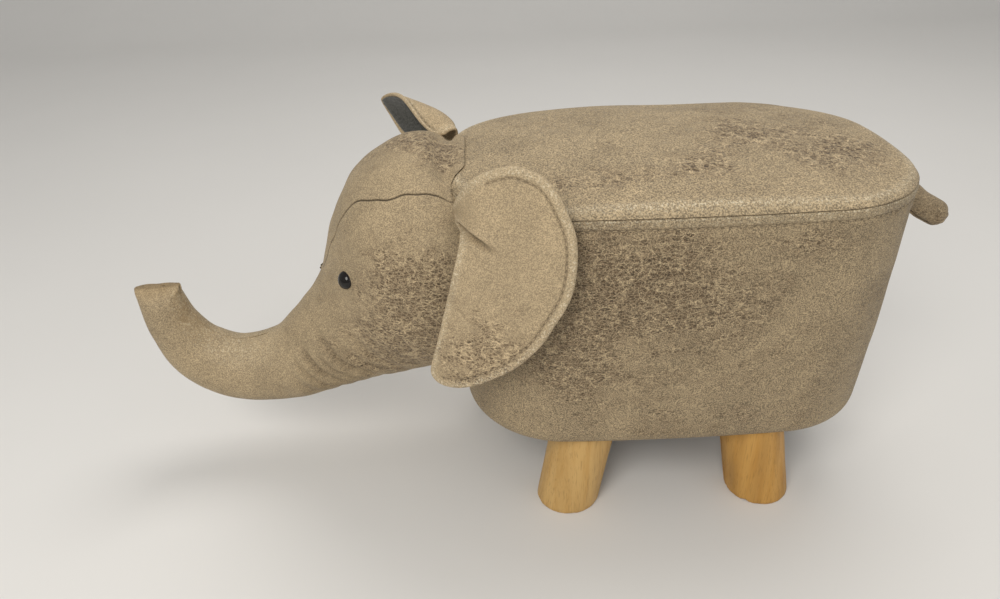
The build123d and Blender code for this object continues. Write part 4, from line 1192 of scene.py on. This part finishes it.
def make_eyes():
    """Two domed eyes: half an ellipsoid, then a straight side let into the leather. The right
    one has settled a little back, in and down."""
    ring = np.array((0, 0.25, 0.5, 0.7, 0.85, 0.95, 1.0, 1.0, 0.96, 0.5, 0))
    rise = np.append(EYE_DOME * np.sqrt(1 - ring[:7] ** 2), (-0.6, -1.2, -2.0, -2.0))
    for side, name, settled in ((-1, "eye_left", (0, 0, 0)), (1, "eye_right", (1.4, -0.6, -0.4))):
        outward = heading(side, 47, 20)
        centre = np.multiply(EYE_PLACE, (1, side, 1)) + 0.5 * outward + settled
        level = unit(np.cross(outward, (0, 0, 1)))
        upward = np.cross(level, outward)
        round_it = (np.cos(turns(48))[:, None] * level + np.sin(turns(48))[:, None] * upward)
        grid = (centre + EYE_RADIUS * ring[:, None, None] * round_it
                + rise[:, None, None] * outward)
        eye = surface(name + "_dome", grid)
        finished(eye, glossy(name + "_black", (0.006, 0.0045, 0.0035)))
        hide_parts(name)


def make_tail():
    """Tail: a tapering stuffed stub with a seam down each side and a gathered tip."""
    ahead = np.array((math.cos(TAIL_DROOP), 0, -math.sin(TAIL_DROOP)))
    upward = np.array((math.sin(TAIL_DROOP), 0, math.cos(TAIL_DROOP)))
    profile = evenly(spline((
        (-9.0, 0.5), (-7.5, 5.5), (-3, 8.6), (4, 9.5), (14, 9.2), (26, 8.8), (38, 8.8),
        (46, 8.6), (51, 6.6), (53.6, 3.0), (54, 0.3)), 400), 110)
    turn = turns(120)
    reach, out = profile[:, :1], profile[:, 1:]
    gap = np.abs(np.sin(turn - 0.5)) * np.maximum(out, 0.5)
    out = out - hill(gap, 0.9) * ease(out, 2, 6)
    out = out + 0.35 * np.cos(7 * turn) * (hill(reach - 50, 5) + hill(reach + 2, 6))
    tall, wide = 1.04, 0.92
    grid = (TAIL_PIVOT + reach[..., None] * ahead
            + (out * np.cos(turn))[..., None] * upward * tall
            + (out * np.sin(turn))[..., None] * np.array((0, wide, 0)))
    grid = grid + 0.35 * ripple(grid, 16, 51)[..., None] * upward
    marks = {
        "worn": 0.42 + 0.1 * ripple(grid, 18, 52),
        # painted shade in the groove of each side seam
        "seam": 0.75 * hill(gap, 0.9) * ease(out, 2, 6),
        "stain": 0.1 * ease(reach, 30, 50) + 0 * gap,
    }
    tail = surface("tail", grid, marks=marks)
    tone = [0.72 * part for part in colours().trim]
    finished(tail, leatherette("tail_leather", tone), body=None)
    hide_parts("tail_cover", "tail_stuffing")
    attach(tail, "tail")


def make_leg(end, flank):
    """A round leg that leans outward, with a worn lower edge. Each level is a circle across the
    leg's own axis, sheared to lie flat."""
    name = f"leg_{end}_{flank}"
    side = (-1 if end == "front" else 1, -1 if flank == "left" else 1)
    chance = 2 * side[0] + side[1]
    top = length_of("underside")
    levels = np.concatenate([[0.0, 0.0, 0.25, 0.8, 1.6], np.linspace(3, top - 0.6, 60),
                             [top, top]])
    shrink = np.concatenate([[0.0, 0.955, 0.978, 0.992, 1.0], np.ones(60), [1.0, 0.0]])
    turn = turns(160)
    lean = np.multiply(LEG_SPREAD, side)
    middle = (np.multiply(LEG_TOP, side) + lean * (top - levels)[:, None])[:, None]
    way = unit(lean)
    ring = LEG_RADIUS * (np.cos(turn)[:, None] * way * math.hypot(1, *lean)
                         + np.sin(turn)[:, None] * np.array((-way[1], way[0])))
    flat = middle + shrink[:, None, None] * ring
    grid = lifted(flat, levels[:, None])
    z = grid[..., 2]
    chip = 1.6 * np.clip(ripple(grid, 9, 60 + chance) - 0.45, 0, 1) * hill(z, 3.0)
    flute = 0.12 * ripple(grid * (1, 1, 0.08), 6, 70 + chance)
    crack = np.zeros_like(z)
    if name == "leg_rear_left":
        facing = np.arctan2(np.sin(turn - CRACK_ANGLE), np.cos(turn - CRACK_ANGLE))
        bend = 0.05 * np.sin(z / 7) + 0.03 * np.sin(z / 2.7)
        crack = hill((facing - bend) * LEG_RADIUS, 0.55) * ease(z, 4, 14)
    inward = lifted(unit(middle - flat), 0.0)
    live = (shrink > 0.5)[:, None]
    grid = grid + inward * ((chip + flute + 1.3 * crack) * live)[..., None]
    streaks = np.clip(ripple(grid * (1, 1, 0.15), 12, 79 + chance), 0, 1)
    marks = {
        "scorch": np.clip(0.30 * hill(z, 2.5) * (0.5 + 0.5 * ripple(grid, 8, 5))
                          + (0.30 if end == "rear" else 0.06) * streaks + 0.5 * chip, 0, 1),
        "crack": np.clip(1.2 * crack, 0, 1),
    }
    leg = surface(name + "_turned", grid, marks=marks)
    pale = colours().leg_pale if end == "front" else colours().leg_deep
    dark = np.multiply(pale, (0.86, 0.78, 0.64))
    finished(leg, wood(name + "_wood", pale, dark, mottle=0.25))
    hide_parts(name)


def make_dust_cloth():
    """Dust cloth under the base: a thin sheet that hangs a little between its staples."""
    outline, normal, _ = seat_outline(240)
    low = length_of("underside")
    edge = outline - (CLOTH_INSET + wall_inset(low)) * normal
    share = np.concatenate([np.linspace(0, 0.9, 30), np.linspace(0.92, 1, 8)])
    flat = share[:, None, None] * edge
    sag = -0.35 * (1 - share ** 4)[:, None] * (0.6 + 0.4 * ripple(flat, 40, 81))
    under = lifted(flat, low + 0.35 + np.clip(sag, -0.6, 0))
    over = lifted(flat, low + 0.5)[::-1]
    cloth = surface("dust_cover", np.concatenate([under, over]))
    finished(cloth, plain_cloth("dust_cover_cloth", (0.03, 0.03, 0.032), size=1.5, depth=0.2))
    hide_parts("dust_cloth")


def finish_frame_nodes():
    """Materials for the pieces of the frame that stay as they are."""
    for material, names in (
            (wood("plywood_raw", (0.62, 0.47, 0.30), (0.48, 0.34, 0.2), along=(1, 0, 0), ring=7),
             "base_board seat_board front_panel rear_panel neck_board"),
            (wood("softwood_raw", (0.68, 0.51, 0.31), (0.5, 0.33, 0.17)),
             "post_front_left post_front_right post_rear_left post_rear_right"),
            (plain_cloth("hardboard_raw", (0.27, 0.165, 0.095), size=1.2, depth=0.15),
             "side_wrap"),
            (metal("zinc_steel", (0.62, 0.62, 0.60)),
             "frame_screws dust_cloth_staples hanger_bolts tee_nuts neck_bolts neck_washers "
             "neck_nuts"),
            (plain_cloth("washer_plastic", (0.8, 0.8, 0.78), size=3, depth=0.05),
             "eye_washers")):
        for name in names.split():
            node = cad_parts[name]
            node.data.materials.clear()
            node.data.materials.append(material)


# ---------------------------------------------------------------- stage
def backdrop_material():
    """Pale floor with a faint mottle."""
    s = Shader("pale_floor", 0.9, Specular_IOR_Level=0.1)
    mottle = s.span(s.noise(300, 2, 0.5), 0.3, 0.7)
    return s.done(s.blend(mottle, tint(colours().floor), tint(colours().floor, 0.985)))


def aimed(name, data, place, axes):
    """A lamp or camera at a place in metres, turned so that its own axes are the three given."""
    obj = bpy.data.objects.new(name, data)
    bpy.context.scene.collection.objects.link(obj)
    turned = Matrix(np.stack(axes, axis=1).tolist()).to_4x4()
    obj.matrix_world = Matrix.Translation(place) @ turned
    return obj


def make_floor():
    """Pale floor that curves up behind, in metres: level, a quarter of an ellipse, upright."""
    run = np.linspace(0, math.pi / 2, 24)
    y = np.concatenate([[-3.0, -1.5, 0, 1.2], 1.6 + 0.8 * np.sin(run), [2.4, 2.4]])
    z = np.concatenate([[0, 0, 0, 0], 0.8 * (1 - np.cos(run)), [2.0, 3.2]])
    grid = np.stack(np.broadcast_arrays(np.array((-4.0, 4.0)), y[:, None], z[:, None]), axis=-1)
    floor = surface("floor", grid / MM - (SEAT_MIDDLE, 0, 0.0), loop_v=False)
    floor.data.materials.append(backdrop_material())
    return floor


def make_lamps():
    """Three soft round lamps and an even pale light from all round."""
    lamps = []
    for name, place, aim, size, power, colour in (
            ("key_lamp", (-0.50, -1.10, 1.15), (0, 0, 0.12), 0.8, 12.0, (1.0, 0.97, 0.92)),
            ("fill_lamp", (1.5, -1.4, 0.9), (0, 0, 0.12), 1.4, 3.5, (1.0, 0.98, 0.95)),
            ("top_lamp", (0.35, 0.5, 1.7), (0.05, 0, 0.2), 1.0, 9.5, (1.0, 0.97, 0.93))):
        lamp = bpy.data.lights.new(name, "AREA")
        lamp.shape = "DISK"
        lamp.size, lamp.energy, lamp.color = size, power, colour
        back = unit(np.subtract(place, aim))
        across = unit(np.cross((0, 0, 1), back))
        lamps.append(aimed(name, lamp, place, (across, np.cross(back, across), back)))
    world = bpy.data.worlds.new("studio")
    world.use_nodes = True
    sky = world.node_tree.nodes["Background"].inputs
    sky["Color"].default_value = (1.0, 0.99, 0.97, 1)
    sky["Strength"].default_value = 0.42
    bpy.context.scene.world = world
    return lamps


def make_camera():
    """The camera, by the point that it looks at, its distance and its three angles."""
    level = math.cos(VIEW_ELEVATION)
    back = np.array((math.sin(VIEW_AZIMUTH) * level, -math.cos(VIEW_AZIMUTH) * level,
                     math.sin(VIEW_ELEVATION)))
    right = unit(np.cross(-back, (0, 0, 1)))
    upward = np.cross(right, -back)
    x_axis = right * math.cos(VIEW_ROLL) - upward * math.sin(VIEW_ROLL)
    y_axis = right * math.sin(VIEW_ROLL) + upward * math.cos(VIEW_ROLL)
    view = bpy.data.cameras.new("view")
    view.sensor_width, view.lens, view.clip_start = 36.0, VIEW_LENS, 0.01
    camera = aimed("view", view, (VIEW_TARGET + VIEW_DISTANCE * back) * MM, (x_axis, y_axis, back))
    bpy.context.scene.camera = camera
    return camera


def make_stage():
    """Floor, lamps and camera."""
    make_floor()
    make_camera()
    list(make_lamps())
    bpy.context.scene.view_settings.view_transform = "Standard"


# ---------------------------------------------------------------- operators
class SeatOperator(bpy.types.Operator):
    """Make the seat pad"""
    bl_idname = "stool.seat"
    bl_label = "Seat Pad"

    def execute(self, context):
        make_seat()
        return {"FINISHED"}


class SideBandOperator(bpy.types.Operator):
    """Make the side band and its topstitching"""
    bl_idname = "stool.side_band"
    bl_label = "Side Band"

    def execute(self, context):
        make_side_band()
        make_band_stitches()
        return {"FINISHED"}


class HeadOperator(bpy.types.Operator):
    """Make the head and trunk"""
    bl_idname = "stool.head"
    bl_label = "Head and Trunk"

    def execute(self, context):
        body = body_proxy()
        make_head(body)
        bpy.data.objects.remove(body, do_unlink=True)
        return {"FINISHED"}


class EyesOperator(bpy.types.Operator):
    """Make both eyes"""
    bl_idname = "stool.eyes"
    bl_label = "Eyes"

    def execute(self, context):
        make_eyes()
        return {"FINISHED"}


class EarsOperator(bpy.types.Operator):
    """Make both ears with their felt and stitches"""
    bl_idname = "stool.ears"
    bl_label = "Ears"

    def execute(self, context):
        make_left_ear()
        make_right_ear()
        return {"FINISHED"}


class TailOperator(bpy.types.Operator):
    """Make the tail"""
    bl_idname = "stool.tail"
    bl_label = "Tail"

    def execute(self, context):
        make_tail()
        return {"FINISHED"}


class LegsOperator(bpy.types.Operator):
    """Make the four turned legs"""
    bl_idname = "stool.legs"
    bl_label = "Legs"

    def execute(self, context):
        for end in ("front", "rear"):
            for flank in ("left", "right"):
                make_leg(end, flank)
        return {"FINISHED"}


class UndersideOperator(bpy.types.Operator):
    """Make the dust cloth and finish the pieces of the frame"""
    bl_idname = "stool.underside"
    bl_label = "Underside and Frame"

    def execute(self, context):
        make_dust_cloth()
        finish_frame_nodes()
        return {"FINISHED"}


class StageOperator(bpy.types.Operator):
    """Make the floor, lamps and camera"""
    bl_idname = "stool.stage"
    bl_label = "Stage"

    def execute(self, context):
        make_stage()
        return {"FINISHED"}


OPERATORS = (SeatOperator, SideBandOperator, HeadOperator, EyesOperator, EarsOperator,
             TailOperator, LegsOperator, UndersideOperator, StageOperator)


class StoolPanel(bpy.types.Panel):
    """Sidebar panel with the stool's settings and operators"""
    bl_idname = "VIEW3D_PT_elephant_stool"
    bl_label = "Elephant Stool"
    bl_space_type = "VIEW_3D"
    bl_region_type = "UI"
    bl_category = "Stool"

    def draw(self, context):
        settings = context.scene.elephant_stool
        for group in (settings.sizes, settings.colours):
            column = self.layout.column(align=True)
            for name in group.__annotations__:
                column.prop(group, name)
        column = self.layout.column()
        for kind in OPERATORS:
            column.operator(kind.bl_idname)


CLASSES = (StoolSizes, StoolColours, StoolSettings, *OPERATORS, StoolPanel)


def register():
    for kind in CLASSES:
        bpy.utils.register_class(kind)
    bpy.types.Scene.elephant_stool = PointerProperty(type=StoolSettings)


def unregister():
    del bpy.types.Scene.elephant_stool
    for kind in reversed(CLASSES):
        bpy.utils.unregister_class(kind)


def main():
    """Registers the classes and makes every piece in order."""
    register()
    bpy.ops.stool.seat()
    bpy.ops.stool.side_band()
    bpy.ops.stool.head()
    bpy.ops.stool.eyes()
    bpy.ops.stool.ears()
    bpy.ops.stool.tail()
    bpy.ops.stool.legs()
    bpy.ops.stool.underside()
    bpy.ops.stool.stage()
    bpy.context.view_layer.update()


if __name__ == "__main__":
    main()
